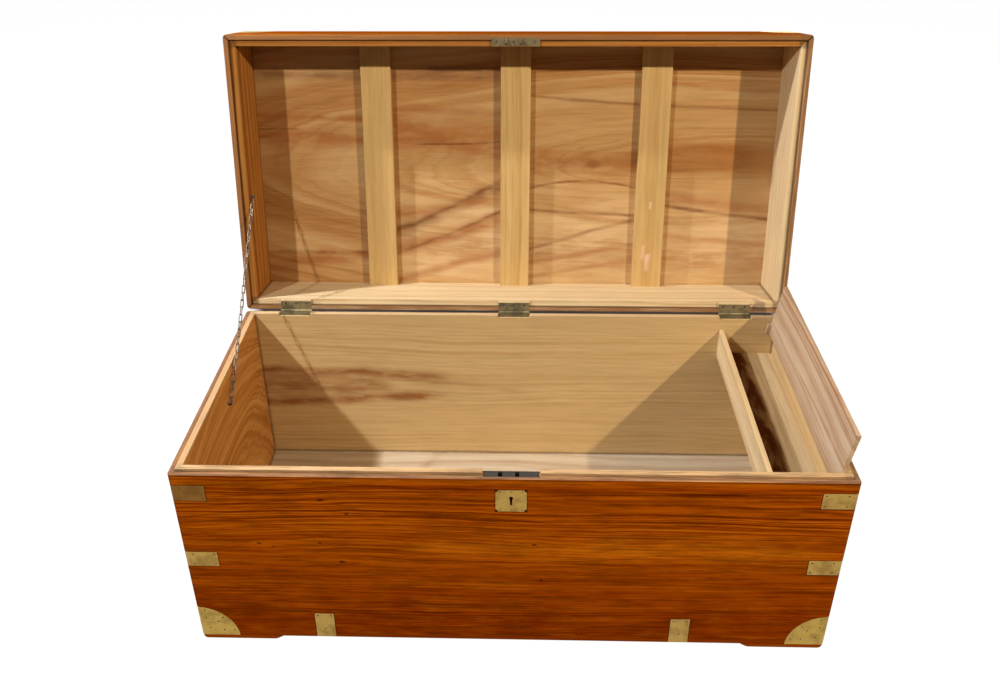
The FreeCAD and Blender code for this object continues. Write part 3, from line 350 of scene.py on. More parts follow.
# %% [markdown]
# ## Knots and streaks
# A knot is the foot of a branch: a dark eye that the grain flows around. The group bends
# the space about the eye before the grain reads it, which makes the rings part, and gives
# a mask for the eye. A streak is a stain that follows the grain for part of its length. It
# is a soft line with a start, an end, a slope and a bow, made ragged by noise.

# %% Group: knot
knot, give = new_group("knot", [
    ("Place", "Vector", (0, 0, 0)), ("Eye", "Vector", (0, 0, 0)), ("Size", "Float", 0.01)],
    [("Bent", "Vector"), ("Dark", "Float")])
away = vector_of(knot, "MULTIPLY", vector_of(knot, "SUBTRACT", give["Place"], give["Eye"]), (0.45, 1, 1))
reach = sum_of(knot, "DIVIDE", vector_of(knot, "LENGTH", away, result="Value"), give["Size"])
pull = product(knot, sum_of(knot, "EXPONENT", product(knot, reach, -0.45)), -0.8)
back = scaled(knot, vector_of(knot, "MULTIPLY", away, (0, 1, 1)), pull)
ragged = sum_of(knot, "ADD", reach, product(knot, noise(knot, give["Place"], 160, 2), 0.8))
eye = fading(knot, ragged, 0.7, 1.4)
close_group(knot, Bent=vector_of(knot, "ADD", give["Place"], back), Dark=eye)

# %% Group: streak
streak, give = new_group("streak", [
    ("Place", "Vector", (0, 0, 0)), ("Start", "Float", 0), ("End", "Float", 0.1), ("Across", "Float", 0),
    ("Slope", "Float", 0), ("Bow", "Float", 0), ("Width", "Float", 0.01)], [("Dark", "Float")])
along, across = parts_of(streak, give["Place"])[:2]
share = sum_of(streak, "DIVIDE", sum_of(streak, "SUBTRACT", along, give["Start"]),
               sum_of(streak, "SUBTRACT", give["End"], give["Start"]))
rise = line_of(streak, share, give["Slope"], give["Across"])
hump = product(streak, share, rest_of(streak, share), 4)
middle = line_of(streak, hump, give["Bow"], rise)
wobble = noise(streak, give["Place"], (9, 26, 26), 3)
shaky = product(streak, centred(streak, wobble), product(streak, give["Width"], 1.5))
off = sum_of(streak, "ABSOLUTE", sum_of(streak, "ADD", sum_of(streak, "SUBTRACT", across, middle), shaky))
core = fading(streak, sum_of(streak, "DIVIDE", off, give["Width"]), 0.0, 1.1)
ends = product(streak, between(streak, share, -0.05, 0.12), fading(streak, share, 0.85, 1.05))
broken = noise(streak, give["Place"], (16, 50, 50), 3, 0.6)
kept = line_of(streak, between(streak, broken, 0.34, 0.60), 0.55, 0.45)
close_group(streak, Dark=product(streak, core, ends, kept))

# %% [markdown]
# ## Specks, and dirt round the plates
# Old boards carry a few dark specks, from nails, ink or worms. Voronoi cells give one point
# each, and only the cells with a high random value keep theirs. Wax and dirt also gather
# against the edge of each brass plate, where the cloth never reaches, so a second group
# gives a thin dark line round a rectangle.

# %% Group: specks
CELLS_PER_METRE = 24
specks, give = new_group("specks", [("Place", "Vector", (0, 0, 0)), ("Size", "Float", 0.001)],
                         [("Dark", "Float")])
cells = add(specks, "ShaderNodeTexVoronoi", {"Vector": give["Place"], "Scale": CELLS_PER_METRE}).outputs
radius = sum_of(specks, "DIVIDE", cells["Distance"], CELLS_PER_METRE)
drawn = between(specks, parts_of(specks, cells["Color"])[0], 0.80, 0.90)
ragged = product(specks, noise(specks, give["Place"], 900, 2), give["Size"])
dot = fading(specks, sum_of(specks, "ADD", radius, ragged), 0.0006, 0.0016)
close_group(specks, Dark=product(specks, dot, drawn))

# %% Group: plate dirt
dirt, give = new_group("plate dirt", [
    ("Place", "Vector", (0, 0, 0)), ("Middle", "Vector", (0, 0, 0)), ("Half", "Vector", (0, 0, 0))],
    [("Dark", "Float")])
from_middle = vector_of(dirt, "ABSOLUTE", vector_of(dirt, "SUBTRACT", give["Place"], give["Middle"]))
outside = vector_of(dirt, "MAXIMUM", vector_of(dirt, "SUBTRACT", from_middle, give["Half"]), (0, 0, 0))
wander = product(dirt, noise(dirt, give["Place"], 140, 3), 0.0016)
reach = sum_of(dirt, "ADD", vector_of(dirt, "LENGTH", outside, result="Value"), wander)
close_group(dirt, Dark=fading(dirt, reach, 0.0010, 0.0032))

# %% [markdown]
# ## Where polish, wear and dirt are
# The maker polished only what shows when the chest is shut. Hands and dusters then wore
# the outer edges, and the inner corners are made darker. All three follow the shape of the
# chest, so one group works them out from a point's place in the shut chest: how far it is
# from the outer faces, from the outer edges, where two faces meet, and from the inner
# corners. It also marks the ledge under the lid's rim, the groove inside it, the arris where
# case and lid meet, and the mitres of the lid's frame.

# %% The middle one of three
def middle_of(tree, first, second, third):
    """The middle one of three values, which is near 0 only where two of them are."""
    least = sum_of(tree, "MINIMUM", first, second)
    most = sum_of(tree, "MAXIMUM", first, second)
    return sum_of(tree, "MAXIMUM", least, sum_of(tree, "MINIMUM", most, third))


# %% Group: finish map
LEDGE_WIDTH, LEDGE_HEIGHTS = 0.0098, (0.3500, 0.3535)
MITRE_HEIGHTS = 0.3545, 0.3600
finish, give = new_group("finish map", [("Place", "Vector", (0, 0, 0))], [
    ("Polished", "Float"), ("Edge", "Float"), ("Corner", "Float"), ("Ledge", "Float"), ("Arris", "Float"),
    ("Groove", "Float"), ("Mitre", "Float")])
x, y, z = parts_of(finish, give["Place"])
side, face = (sum_of(finish, "ABSOLUTE", value) for value in (x, y))
ragged = product(finish, centred(finish, noise(finish, give["Place"], 90, 3)), 0.003)
to_side = sum_of(finish, "SUBTRACT", side, HALF_LENGTH)
to_face = sum_of(finish, "SUBTRACT", face, HALF_DEPTH)
to_top = sum_of(finish, "SUBTRACT", z, LID_TOP)
outer = sum_of(finish, "MAXIMUM", sum_of(finish, "MAXIMUM", to_side, to_face), to_top)
from_rim = sum_of(finish, "ABSOLUTE", sum_of(finish, "SUBTRACT", z, (LEDGE_TOP + LID_RIM) / 2))
polished = product(finish, between(finish, sum_of(finish, "ADD", outer, ragged), -0.0050, -0.0026),
                   between(finish, from_rim, 0.0005, 0.0009))
middle = middle_of(finish, to_side, to_face, to_top)
edge = between(finish, sum_of(finish, "ADD", middle, ragged), -0.0045, -0.0005)
inner = middle_of(finish, sum_of(finish, "SUBTRACT", INNER_LENGTH, side),
                  sum_of(finish, "SUBTRACT", INNER_DEPTH, face), sum_of(finish, "SUBTRACT", z, FLOOR_TOP))
corner = fading(finish, sum_of(finish, "ADD", inner, ragged), 0.0005, 0.006)
arris = fading(finish, from_rim, 0.001, 0.0055)
on_ledge = sum_of(finish, "MAXIMUM", sum_of(finish, "ADD", to_side, LEDGE_WIDTH),
                  sum_of(finish, "ADD", to_face, LEDGE_WIDTH))
near_top = between(finish, z, *LEDGE_HEIGHTS)
ledge = product(finish, between(finish, on_ledge, -0.0002, 0.0004), near_top)
from_groove = sum_of(finish, "ABSOLUTE", sum_of(finish, "ADD", on_ledge, -0.0003))
groove = product(finish, fading(finish, from_groove, 0.0004, 0.0017), near_top)
across_corner = sum_of(finish, "ABSOLUTE", sum_of(finish, "SUBTRACT", to_side, to_face))
mitre = product(finish, fading(finish, z, *MITRE_HEIGHTS), fading(finish, across_corner, 0.0010, 0.0026))
close_group(finish, Polished=polished, Edge=edge, Corner=corner, Ledge=ledge, Arris=arris, Groove=groove,
            Mitre=mitre)

# %% [markdown]
# ## Four ways to lay a board
# A piece's own coordinates are where it is now, with the lid open. A Mapping node takes
# them back to the shut chest, measured from the middle of the case. A second Mapping node
# turns the tree, so that X runs along the grain and Y across it, up an upright board: the
# maker laid each board flat or upright, and along the chest or from front to back.

# %% Places in the shut chest
SWINGS = {"case": ((0, 0, 0), Vector()), "lid": ((LID_OPEN, 0, 0), LID_LINE),
          "till lid": ((0, -TILL_OPEN, 0), TILL_LINE)}


def shut(tree, part):
    """The place of a point with the chest shut, from the middle of the case."""
    here = add(tree, "ShaderNodeTexCoord").outputs["Object"]
    angles, line = SWINGS[part]
    shift = line - Euler(angles).to_matrix() @ line - CASE_MIDDLE
    return result_of(tree, "ShaderNodeMapping", {"Vector": here, "Location": shift, "Rotation": angles})


LAY = {"flat, along": (0, 0, 0), "flat, across": (0, 0, -math.pi / 2),
       "upright, along": (-math.pi / 2, 0, 0), "upright, across": (0, -math.pi / 2, -math.pi / 2)}

# %% [markdown]
# ## The woods
# Every wooden piece comes from one recipe. It reads the grain and mixes four raw colours:
# pale, middle, brown and the thin dark lines. Outside, the same grain is seen through old
# shellac, which turns it orange and red-brown, so a second set of colours is mixed in by
# the finish map. Roughness and a fine bump follow the fibres.

# %% Colours of wood by tone
def shades(*colours):
    """The four colours of one wood, by name."""
    return {name: rgb(*colour) for name, colour in zip(("pale", "middle", "brown", "line"), colours)}


POLISH = shades((0.42, 0.098, 0.003), (0.33, 0.06, 0.0012), (0.25, 0.036, 0.0006), (0.15, 0.017, 0.0003))
RAW = shades((0.6, 0.365, 0.16), (0.555, 0.325, 0.134), (0.495, 0.275, 0.105), (0.38, 0.19, 0.065))


def seen_through(tree, look, tone):
    """The colour that a tone has in one set of four colours, pale where the tone is low."""
    ramp = add(tree, "ShaderNodeValToRGB", {0: tone})
    ramp.color_ramp.interpolation = "B_SPLINE"
    stops = ramp.color_ramp.elements
    stops[0].position, stops[1].position = 0.24, 0.44
    for place in (0.63, 0.86):
        stops.new(place)
    for stop, colour in zip(stops, look.values()):
        stop.color = colour
    return ramp.outputs[0]


# %% Streaks on a board
def streaked(tree, place, colour, streaks):
    """The colour with each streak drawn over it. The streaks' lengths are in millimetres."""
    for *lengths, strength, tint in streaks:
        names = ("Start", "End", "Across", "Slope", "Bow", "Width")
        values = {name: length / 1000 for name, length in zip(names, lengths)}
        colour = stained(tree, colour, use(tree, streak, Place=place, **values)["Dark"], strength, tint)
    return colour


# %% The recipe for a board
SPECK, CRANNY, PALE_TONGUE = rgb(0.11, 0.05, 0.018), rgb(0.09, 0.045, 0.02), rgb(0.6, 0.43, 0.26)
# The groove's colour paints shadow and dirt into the step where the rim's ledge meets its tongue or rebate.
GROOVE_SHADOW_AND_DIRT, MITRE_DIRT = rgb(0.06, 0.022, 0.008), rgb(0.03, 0.011, 0.004)
PLATE_DIRT = rgb(0.05, 0.008, 0.002)
EYE, WORN_EDGE, DARK_ARRIS = rgb(0.045, 0.006, 0.001), rgb(0.09, 0.016, 0.003), rgb(0.08, 0.012, 0.002)


def board(name, part="case", lay="upright, along", heart=(0, -2, 0), squeeze=12, ring=0.02, swirl=0.03,
          bands=0.4, seed=0, raw=RAW, polish=POLISH, knots=(), streaks=(), glaze=(), plates=(), specked=0.0,
          contrast=0.12, pored=0.10, rim=rgb(0.260, 0.140, 0.085), groove=0.4, mitre=0.0):
    """The material of one board. Knots are (eye, size), both in the shut chest, turned so that X
    runs along the grain. Streaks on raw wood and glaze on polish are (start, end, across, slope,
    bow, width, strength, colour), in millimetres."""
    made, tree, shader = new_material(name)
    place = shut(tree, part)
    laid = result_of(tree, "ShaderNodeMapping", {"Vector": place, "Rotation": LAY[lay]})
    spot = laid
    eyes = []
    for eye, size in knots:
        found = use(tree, knot, Place=spot, Eye=eye, Size=size)
        spot = found["Bent"]
        eyes.append(found["Dark"])
    wood = use(tree, grain, Place=spot, Heart=heart, Squeeze=squeeze, Ring=ring, Swirl=swirl, Bands=bands,
               Seed=seed)
    where = use(tree, finish, Place=place)
    inside = seen_through(tree, raw, wood["Tone"])
    inside = streaked(tree, laid, inside, streaks)
    dots = use(tree, specks, Place=place)["Dark"]
    inside = stained(tree, inside, dots, specked, SPECK)
    # The inner corners are made darker.
    inside = stained(tree, inside, where["Corner"], 0.55, CRANNY)
    kept = line_of(tree, between(tree, wood["Fibre"], 0.42, 0.68), -0.5, 0.95)
    inside = stained(tree, inside, where["Ledge"], kept, rim)
    if part == "case":
        tongue = between(tree, parts_of(tree, place)[2], LEDGE_TOP + 0.0002, LEDGE_TOP + 0.0008)
        inside = stained(tree, inside, tongue, 0.65, PALE_TONGUE)
    # Painted shadow and dirt in the groove at the rim's step.
    inside = stained(tree, inside, where["Groove"], groove, GROOVE_SHADOW_AND_DIRT)
    inside = stained(tree, inside, where["Mitre"], mitre, MITRE_DIRT)
    outside = streaked(tree, laid, seen_through(tree, polish, wood["Tone"]), glaze)
    for eye in eyes:
        inside = stained(tree, inside, eye, 0.75, raw["line"])
        outside = stained(tree, outside, eye, 0.8, EYE)
    outside = stained(tree, outside, where["Edge"], 0.5, WORN_EDGE)
    outside = stained(tree, outside, where["Arris"], 0.55, DARK_ARRIS)
    for middle, half in plates:
        around = use(tree, dirt, Place=laid, Middle=middle, Half=half)["Dark"]
        outside = stained(tree, outside, around, 0.8, PLATE_DIRT)
    colour = mixed(tree, where["Polished"], inside, outside)
    soft = line_of(tree, centred(tree, wood["Fibre"]), contrast * 2, 1)
    soft = line_of(tree, sum_of(tree, "SUBTRACT", wood["Pores"], 0.58), pored, soft)
    tone = line_of(tree, centred(tree, wood["Cloud"]), 0.25, soft)
    grey = result_of(tree, "ShaderNodeCombineColor", {0: tone, 1: tone, 2: tone})
    tree.links.new(mixed(tree, 1.0, colour, grey, "MULTIPLY"), shader["Base Color"])
    rough = line_of(tree, where["Polished"], -0.34, 0.78)
    tree.links.new(line_of(tree, wood["Fibre"], 0.1, rough), shader["Roughness"])
    height = line_of(tree, wood["Tone"], -0.6, wood["Fibre"])
    bump = add(tree, "ShaderNodeBump", {"Height": height, "Strength": 0.25, "Distance": 0.0006})
    tree.links.new(bump.outputs[0], shader["Normal"])
    shader["Specular IOR Level"].default_value = 0.0
    return made


# %% Dress the pieces
def dress(material, *names):
    """Gives a material to pieces of the chest."""
    for name in names:
        for slot in pieces[name].material_slots:
            slot.material = material
    print(material.name, "on", ", ".join(names) or "no piece yet")


# %% [markdown]
# ## The case
# The front is one wide plank, cut away from the heart: long red-brown stripes, closest
# together near its upper edge, which part round a few small knots at the left. The back is
# plainer, with one brown flame inside. The end boards were cut nearer the heart and show
# arches. Their grain runs from front to back.

# %% The front's knots and glaze
RED, GOLD, RUSSET = rgb(0.075, 0.008, 0.0002), rgb(0.580, 0.165, 0.0050), rgb(0.200, 0.022, 0.0003)
KNOT_PLACES = [(-400, 219, 2.8), (-378, 213, 1.9), (-294, 309, 3.7), (-256, 282, 2.5), (-303, 221, 2.5),
               (-271, 181, 3.7), (37, 223, 2.5), (49, 148, 2.5)]
FRONT_KNOTS = [((across / 1000, up / 1000, HALF_DEPTH), size / 1000) for across, up, size in KNOT_PLACES]
FRONT_GLAZE = [
    (-560, -250, 326, 16, 4, 4, 0.5, RED), (-560, -240, 300, 26, 5, 3, 0.55, RED),
    (-560, -200, 284, 30, 5, 2.6, 0.55, RED), (-540, -230, 266, 38, 4, 2.6, 0.5, RED),
    (-560, -50, 256, 24, 8, 3.4, 0.6, RED), (-300, 60, 316, -12, 4, 3.6, 0.55, RED),
    (-300, 100, 304, -4, 3, 2.6, 0.45, RED), (-260, 100, 290, -6, -3, 3, 0.5, RED),
    (-220, 80, 276, -10, 5, 3, 0.55, RED), (-280, 540, 338, -6, -4, 5, 0.55, RED),
    (-20, 540, 318, 2, 8, 4, 0.55, RED), (60, 540, 306, -14, 8, 3.4, 0.5, RED),
    (40, 540, 290, -12, 4, 3.4, 0.45, RED), (100, 540, 270, -6, 4, 2.8, 0.4, RED),
    (-540, -100, 246, 22, 6, 2.2, 0.55, GOLD), (-520, -220, 230, 22, 4, 1.8, 0.6, GOLD),
    (-180, 240, 214, -4, 4, 30, 0.45, GOLD), (120, 500, 215, -4, 4, 34, 0.6, GOLD),
    (-400, 300, 120, -12, -4, 2.6, 0.35, RED), (-540, 0, 96, -4, -4, 3.4, 0.35, RED),
    (-300, 540, 82, -2, 4, 3, 0.4, RED), (-100, 540, 60, 6, 4, 4, 0.35, RED),
    (-560, 560, 12, 0, 0, 14, 0.45, RED),
    (-800, 800, 30, 0, 0, 150, 0.75, RUSSET)]
FRONT_POLISH = shades((0.525, 0.133, 0.004), (0.381, 0.076, 0.0012), (0.278, 0.044, 0.0004),
                      (0.134, 0.015, 0.0002))

# %% Dress the front, with dirt round its plates
NEAR_FRONT = -0.25
PLATES = []
for name in ("upper_strap_front_left", "upper_strap_front_right", "middle_strap_front_left",
             "middle_strap_front_right", "bottom_edge_straps", "escutcheon"):
    for corners in islands(name):
        spots = [corner - CASE_MIDDLE for corner in corners]
        low, high = (Vector(pick(spot[axis] for spot in spots) for axis in range(3)) for pick in (min, max))
        if low.y < NEAR_FRONT:
            centre, size = (low + high) / 2, (high - low) / 2
            PLATES.append(((centre.x, centre.z, 0), (size.x, size.z, 1)))
print(len(PLATES), "plates on the front")
dress(board("front camphor", heart=(0.1, -1.1, 0.9), squeeze=9, ring=0.013, swirl=0.045, bands=0.20, seed=3,
            polish=FRONT_POLISH, knots=FRONT_KNOTS, glaze=FRONT_GLAZE, plates=PLATES, contrast=0.50,
            pored=0.48), "front_board")

# %% The back and the ends
BACK_RAW = shades((0.644, 0.478, 0.253), (0.612, 0.441, 0.225), (0.579, 0.404, 0.193),
                  (0.513, 0.335, 0.148))
FLAME = rgb(0.300, 0.120, 0.040)
BACK_STREAKS = [
    (-560, -240, 190, -4, 0, 44, 0.74, FLAME), (-220, 20, 204, -16, 4, 14, 0.28, FLAME),
    (-560, -120, 229, -14, 4, 16, 0.95, FLAME), (-560, -130, 150, 28, -6, 16, 0.95, FLAME)]
dress(board("back camphor", heart=(-0.3, -1.2, -1.6), squeeze=14, ring=0.022, swirl=0.05, bands=0.15,
            seed=11, raw=BACK_RAW, streaks=BACK_STREAKS, specked=0.6), "back_board")
END_RAW = shades((0.61, 0.32, 0.11), (0.54, 0.255, 0.078), (0.43, 0.18, 0.045), (0.3, 0.105, 0.022))
dress(board("left end camphor", lay="upright, across", heart=(-0.06, -0.04, -0.51), squeeze=1.3, ring=0.034,
            swirl=0.10, bands=0.35, seed=5, raw=END_RAW), "left_end_board")
dress(board("right end camphor", lay="upright, across", heart=(-0.3, -0.6, 0.95), squeeze=8, ring=0.022,
            swirl=0.05, seed=8, raw=BACK_RAW), "right_end_board")

# %% [markdown]
# ## Bottom and feet
# Three planks close the bottom. Inside, where linen lay on them, they stayed pale and have
# turned a little grey. The feet are thin pads, sawn from the same wood and darkened.

# %% Bottom planks and feet
FLOOR_RAW = shades((0.567, 0.484, 0.368), (0.54, 0.449, 0.333), (0.504, 0.398, 0.282),
                   (0.405, 0.291, 0.196))
for number, plank in enumerate(("front", "middle", "back")):
    dress(board("bottom camphor " + plank, lay="flat, along", heart=(0.2, -0.5 + number, -1.4), ring=0.03,
                swirl=0.05, seed=20 + number, raw=FLOOR_RAW), "bottom_plank_" + plank)
CORNERS = [end + "_" + hand for end in ("front", "back") for hand in ("left", "right")]
FOOT_RAW = {name: rgb(*(0.45 * value for value in colour[:3])) for name, colour in END_RAW.items()}
dress(board("foot camphor", lay="flat, along", heart=(0, -0.6, -0.5), ring=0.012, seed=31, raw=FOOT_RAW),
      *("foot_" + corner for corner in CORNERS))

# %% [markdown]
# ## The lid
# The lid is a shallow frame under a wide panel, whose brown stains sweep in long curves
# between the battens. The stains are placed one by one, because they are what makes the
# inside of this lid its own. The frame's rim was stained with the outside, and its corners
# meet in mitres.

# %% Lid panel
LID_RAW = shades((0.564, 0.37, 0.178), (0.498, 0.29, 0.121), (0.414, 0.205, 0.071), (0.273, 0.11, 0.035))
GREY, PINK, DARK = rgb(0.220, 0.105, 0.050), rgb(0.350, 0.128, 0.040), rgb(0.170, 0.055, 0.016)
LID_STREAKS = [
    # The first band paints the panel paler over the lower part of the open lid, right of the left batten,
    # where the high left lamp reaches: partly paler wood, partly painted light.
    (-300, 620, 150, 0, 0, 130, 0.6, rgb(0.700, 0.500, 0.290)),
    (-260, 40, -75, 10, 0, 55, 0.55, rgb(0.400, 0.160, 0.052)),
    (-560, 0, -176, 2, -3, 15, 0.75, GREY), (-180, 0, -188, 2, -3, 10, 0.75, GREY),
    (-550, -200, -104, 6, 4, 10, 0.8, PINK), (-560, -200, -66, 10, 4, 26, 0.85, PINK),
    (-260, 20, -75, 34, 0, 34, 0.8, PINK), (-260, 20, -116, 8, 0, 12, 0.6, PINK),
    (-540, -420, -75, 0, 0, 2.2, 0.9, DARK), (-200, 10, -47, -8, 3, 2.6, 0.8, DARK),
    (-560, -240, 204, -34, 0, 26, 0.85, PINK), (-560, -280, 174, 0, 0, 6, 0.6, DARK),
    (-300, 20, 156, -150, 4, 24, 0.85, GREY), (-320, 20, 100, -44, 0, 18, 0.7, PINK),
    (-320, 20, 188, -104, 4, 20, 0.8, PINK), (-300, 20, 250, -92, -4, 13, 0.65, PINK),
    (-260, 0, 138, -130, 4, 8, 0.7, DARK), (-270, 0, 186, -110, 2, 6, 0.6, DARK),
    (0, 580, -142, 30, 6, 5, 0.55, DARK), (270, 580, -166, 20, 4, 7, 0.55, PINK),
    (10, 260, 46, -2, -20, 4, 0.75, DARK), (-20, 300, 80, 16, 1, 5, 0.65, DARK),
    (260, 580, 68, 36, 5, 6, 0.8, DARK), (240, 580, 46, 40, 5, 22, 0.6, PINK),
    (0, 270, 172, -80, 0, 6, 0.55, DARK), (0, 270, 196, -46, 0, 9, 0.6, PINK),
    (0, 280, 228, -50, 0, 8, 0.45, PINK), (240, 580, 130, 24, 4, 9, 0.45, PINK),
    (20, 300, -20, 12, 6, 40, 0.65, PINK), (280, 580, -40, 10, 10, 34, 0.5, PINK)]
dress(board("lid panel camphor", "lid", "flat, along", heart=(0.36, -0.015, 0.40), squeeze=5.0, ring=0.045,
            swirl=0.07, bands=0.5, seed=41, raw=LID_RAW, streaks=LID_STREAKS,
            knots=[((0.155, -0.008, 0.4764), 0.010)]), "lid_top_panel")

# %% Lid frame
RIM = rgb(0.250, 0.118, 0.050)
PALE_RAW = shades((0.728, 0.59, 0.38), (0.697, 0.549, 0.338), (0.645, 0.472, 0.269), (0.541, 0.354, 0.179))
STRIPED_RAW = shades((0.499, 0.242, 0.068), (0.43, 0.183, 0.044), (0.344, 0.125, 0.024),
                     (0.146, 0.043, 0.008))
FADED_POLISH = shades((0.4, 0.115, 0.01), (0.29, 0.07, 0.005), (0.205, 0.04, 0.002), (0.105, 0.018, 0.001))
FRAME = [("front", "along", (0.1, 0.9, 1.1), 0.018, 0.4, STRIPED_RAW, FADED_POLISH),
         ("back", "along", (0.1, 1.3, -0.9), 0.018, 0.3, PALE_RAW, POLISH),
         ("left", "across", (0.1, -0.5, -1.3), 0.014, 0.4, STRIPED_RAW, POLISH),
         ("right", "across", (0.1, -0.5, 1.3), 0.016, 0.3, PALE_RAW, POLISH)]
for seed, (name, way, heart, ring, bands, raw, polish) in enumerate(FRAME, start=43):
    dress(board(f"lid {name} camphor", "lid", "upright, " + way, heart, squeeze=14, ring=ring, bands=bands,
                seed=seed, raw=raw, polish=polish, rim=RIM, groove=0.6, mitre=0.8), f"lid_{name}_board")

# %% Battens
BATTEN_RAW = shades((0.608, 0.42, 0.19), (0.58, 0.389, 0.166), (0.541, 0.347, 0.139), (0.456, 0.263, 0.095))
CHIPS = [(62, 78, -268, 0, 0, 4, 0.7, rgb(0.80, 0.62, 0.46)),
         (168, 206, -270, 4, 0, 8.5, 0.7, rgb(0.80, 0.58, 0.46)),
         (150, 182, -260, 3, 0, 6, 0.5, rgb(0.80, 0.58, 0.46))]
for number, name in enumerate(("left", "centre", "right")):
    dress(board(f"batten {name} camphor", "lid", "flat, across", heart=(0.2, 1.4, -0.8), squeeze=14,
                ring=0.03, bands=0.3, seed=51 + number, raw=BATTEN_RAW, contrast=0.15,
                streaks=CHIPS if name == "right" else ()), f"lid_batten_{name}")

# %% [markdown]
# ## The till
# The till is the small box at the right, for candles or gloves. Its boards are thin and
# never had polish. Along its bottom, beside the front board, a dark band is painted for the
# shadow that the front casts there. The lid's underside shows pinkish wood with brown
# streaks along it.

# %% Till front, bottom and lid
# A painted shadow: dark bands along the till's bottom beside its front board, where the front casts its
# shadow.
TILL_SHADOW_BANDS = [(-600, 600, across, 0, 0, 18, 1, rgb(0.120, 0.036, 0.010)) for across in range(-442, -393, 8)]
TILL_RAW = shades((0.612, 0.479, 0.35), (0.558, 0.414, 0.285), (0.468, 0.31, 0.195), (0.36, 0.211, 0.125))
dress(board("till front camphor", lay="upright, across", heart=(0.1, -0.9, 1.5), squeeze=14, seed=61,
            raw=PALE_RAW), "till_front")
dress(board("till bottom camphor", lay="flat, across", heart=(0.1, -1.5, -0.9), squeeze=14, bands=0.3,
            seed=62, raw=PALE_RAW, streaks=TILL_SHADOW_BANDS), "till_bottom")
TILL_STREAKS = [
    (-260, 260, -406, -10, 4, 4, 0.55, PINK), (-260, 260, -420, 2, 3, 3, 0.5, PINK),
    (-260, 50, -462, -8, 2, 5, 0.5, PINK), (-150, 260, -476, -4, 2, 3, 0.5, PINK)]
dress(board("till lid camphor", "till lid", "flat, across", heart=(0.2, -0.75, 0.1), squeeze=10, ring=0.022,
            swirl=0.06, seed=63, raw=TILL_RAW, streaks=TILL_STREAKS), "till_lid")

# %% [markdown]
# ## Old brass
# Brass is yellow while it is polished, and brown or green where no cloth reaches. One
# group gives the patches of tarnish, the dark spots and the fine scratches of two centuries
# of polishing. The metal itself is nearly the same everywhere, so only its colour, its
# roughness and a faint bump change.

# %% Group: tarnish
tarnish, give = new_group("tarnish", [("Place", "Vector", (0, 0, 0)), ("Seed", "Float", 0)], [
    ("Patches", "Float"), ("Spots", "Float"), ("Scratches", "Float")])
drift = scaled(tarnish, (3.7, 1.3, 2.1), give["Seed"])
moved = vector_of(tarnish, "ADD", give["Place"], drift)
patches = between(tarnish, noise(tarnish, moved, 38, 4, 0.62), 0.40, 0.66)
spots = between(tarnish, noise(tarnish, moved, 420, 2, 0.5), 0.64, 0.74)
long_way = vector_of(tarnish, "MULTIPLY", moved, (60, 900, 900))
scratches = between(tarnish, noise(tarnish, long_way, 1, 2, 0.6), 0.58, 0.72)
close_group(tarnish, Patches=patches, Spots=spots, Scratches=scratches)

# %% The recipe for a metal
def metal(name, bright, dull, dark, seed, rough, shine):
    """A metal whose bright colour gives way to a dull one in patches and a dark one in spots."""
    made, tree, shader = new_material(name)
    place = add(tree, "ShaderNodeTexCoord").outputs["Object"]
    age = use(tree, tarnish, Place=place, Seed=seed)
    colour = stained(tree, bright, age["Patches"], 0.8, dull)
    colour = stained(tree, colour, age["Scratches"], 0.25, bright)
    tree.links.new(stained(tree, colour, age["Spots"], 0.8, dark), shader["Base Color"])
    worn = line_of(tree, age["Patches"], 0.16, rough)
    tree.links.new(worn, shader["Roughness"])
    height = sum_of(tree, "ADD", age["Spots"], age["Scratches"])
    bump = add(tree, "ShaderNodeBump", {"Height": height, "Strength": 0.2, "Distance": 0.0003}, invert=True)
    tree.links.new(bump.outputs[0], shader["Normal"])
    shader["Metallic"].default_value = shine
    return made


# %% [markdown]
# ## The metal pieces
# Straps and corners are golden brass, worn bright by dusters, though one strap has gone dim.
# Hinges, which nobody polished, have turned a greenish grey, and the link plate brown. The
# lock is dark metal, and the chain's staples and links are dull wire. One table gives each
# metal its bright, dull and dark colour, its seed, roughness and shine, and its pieces.

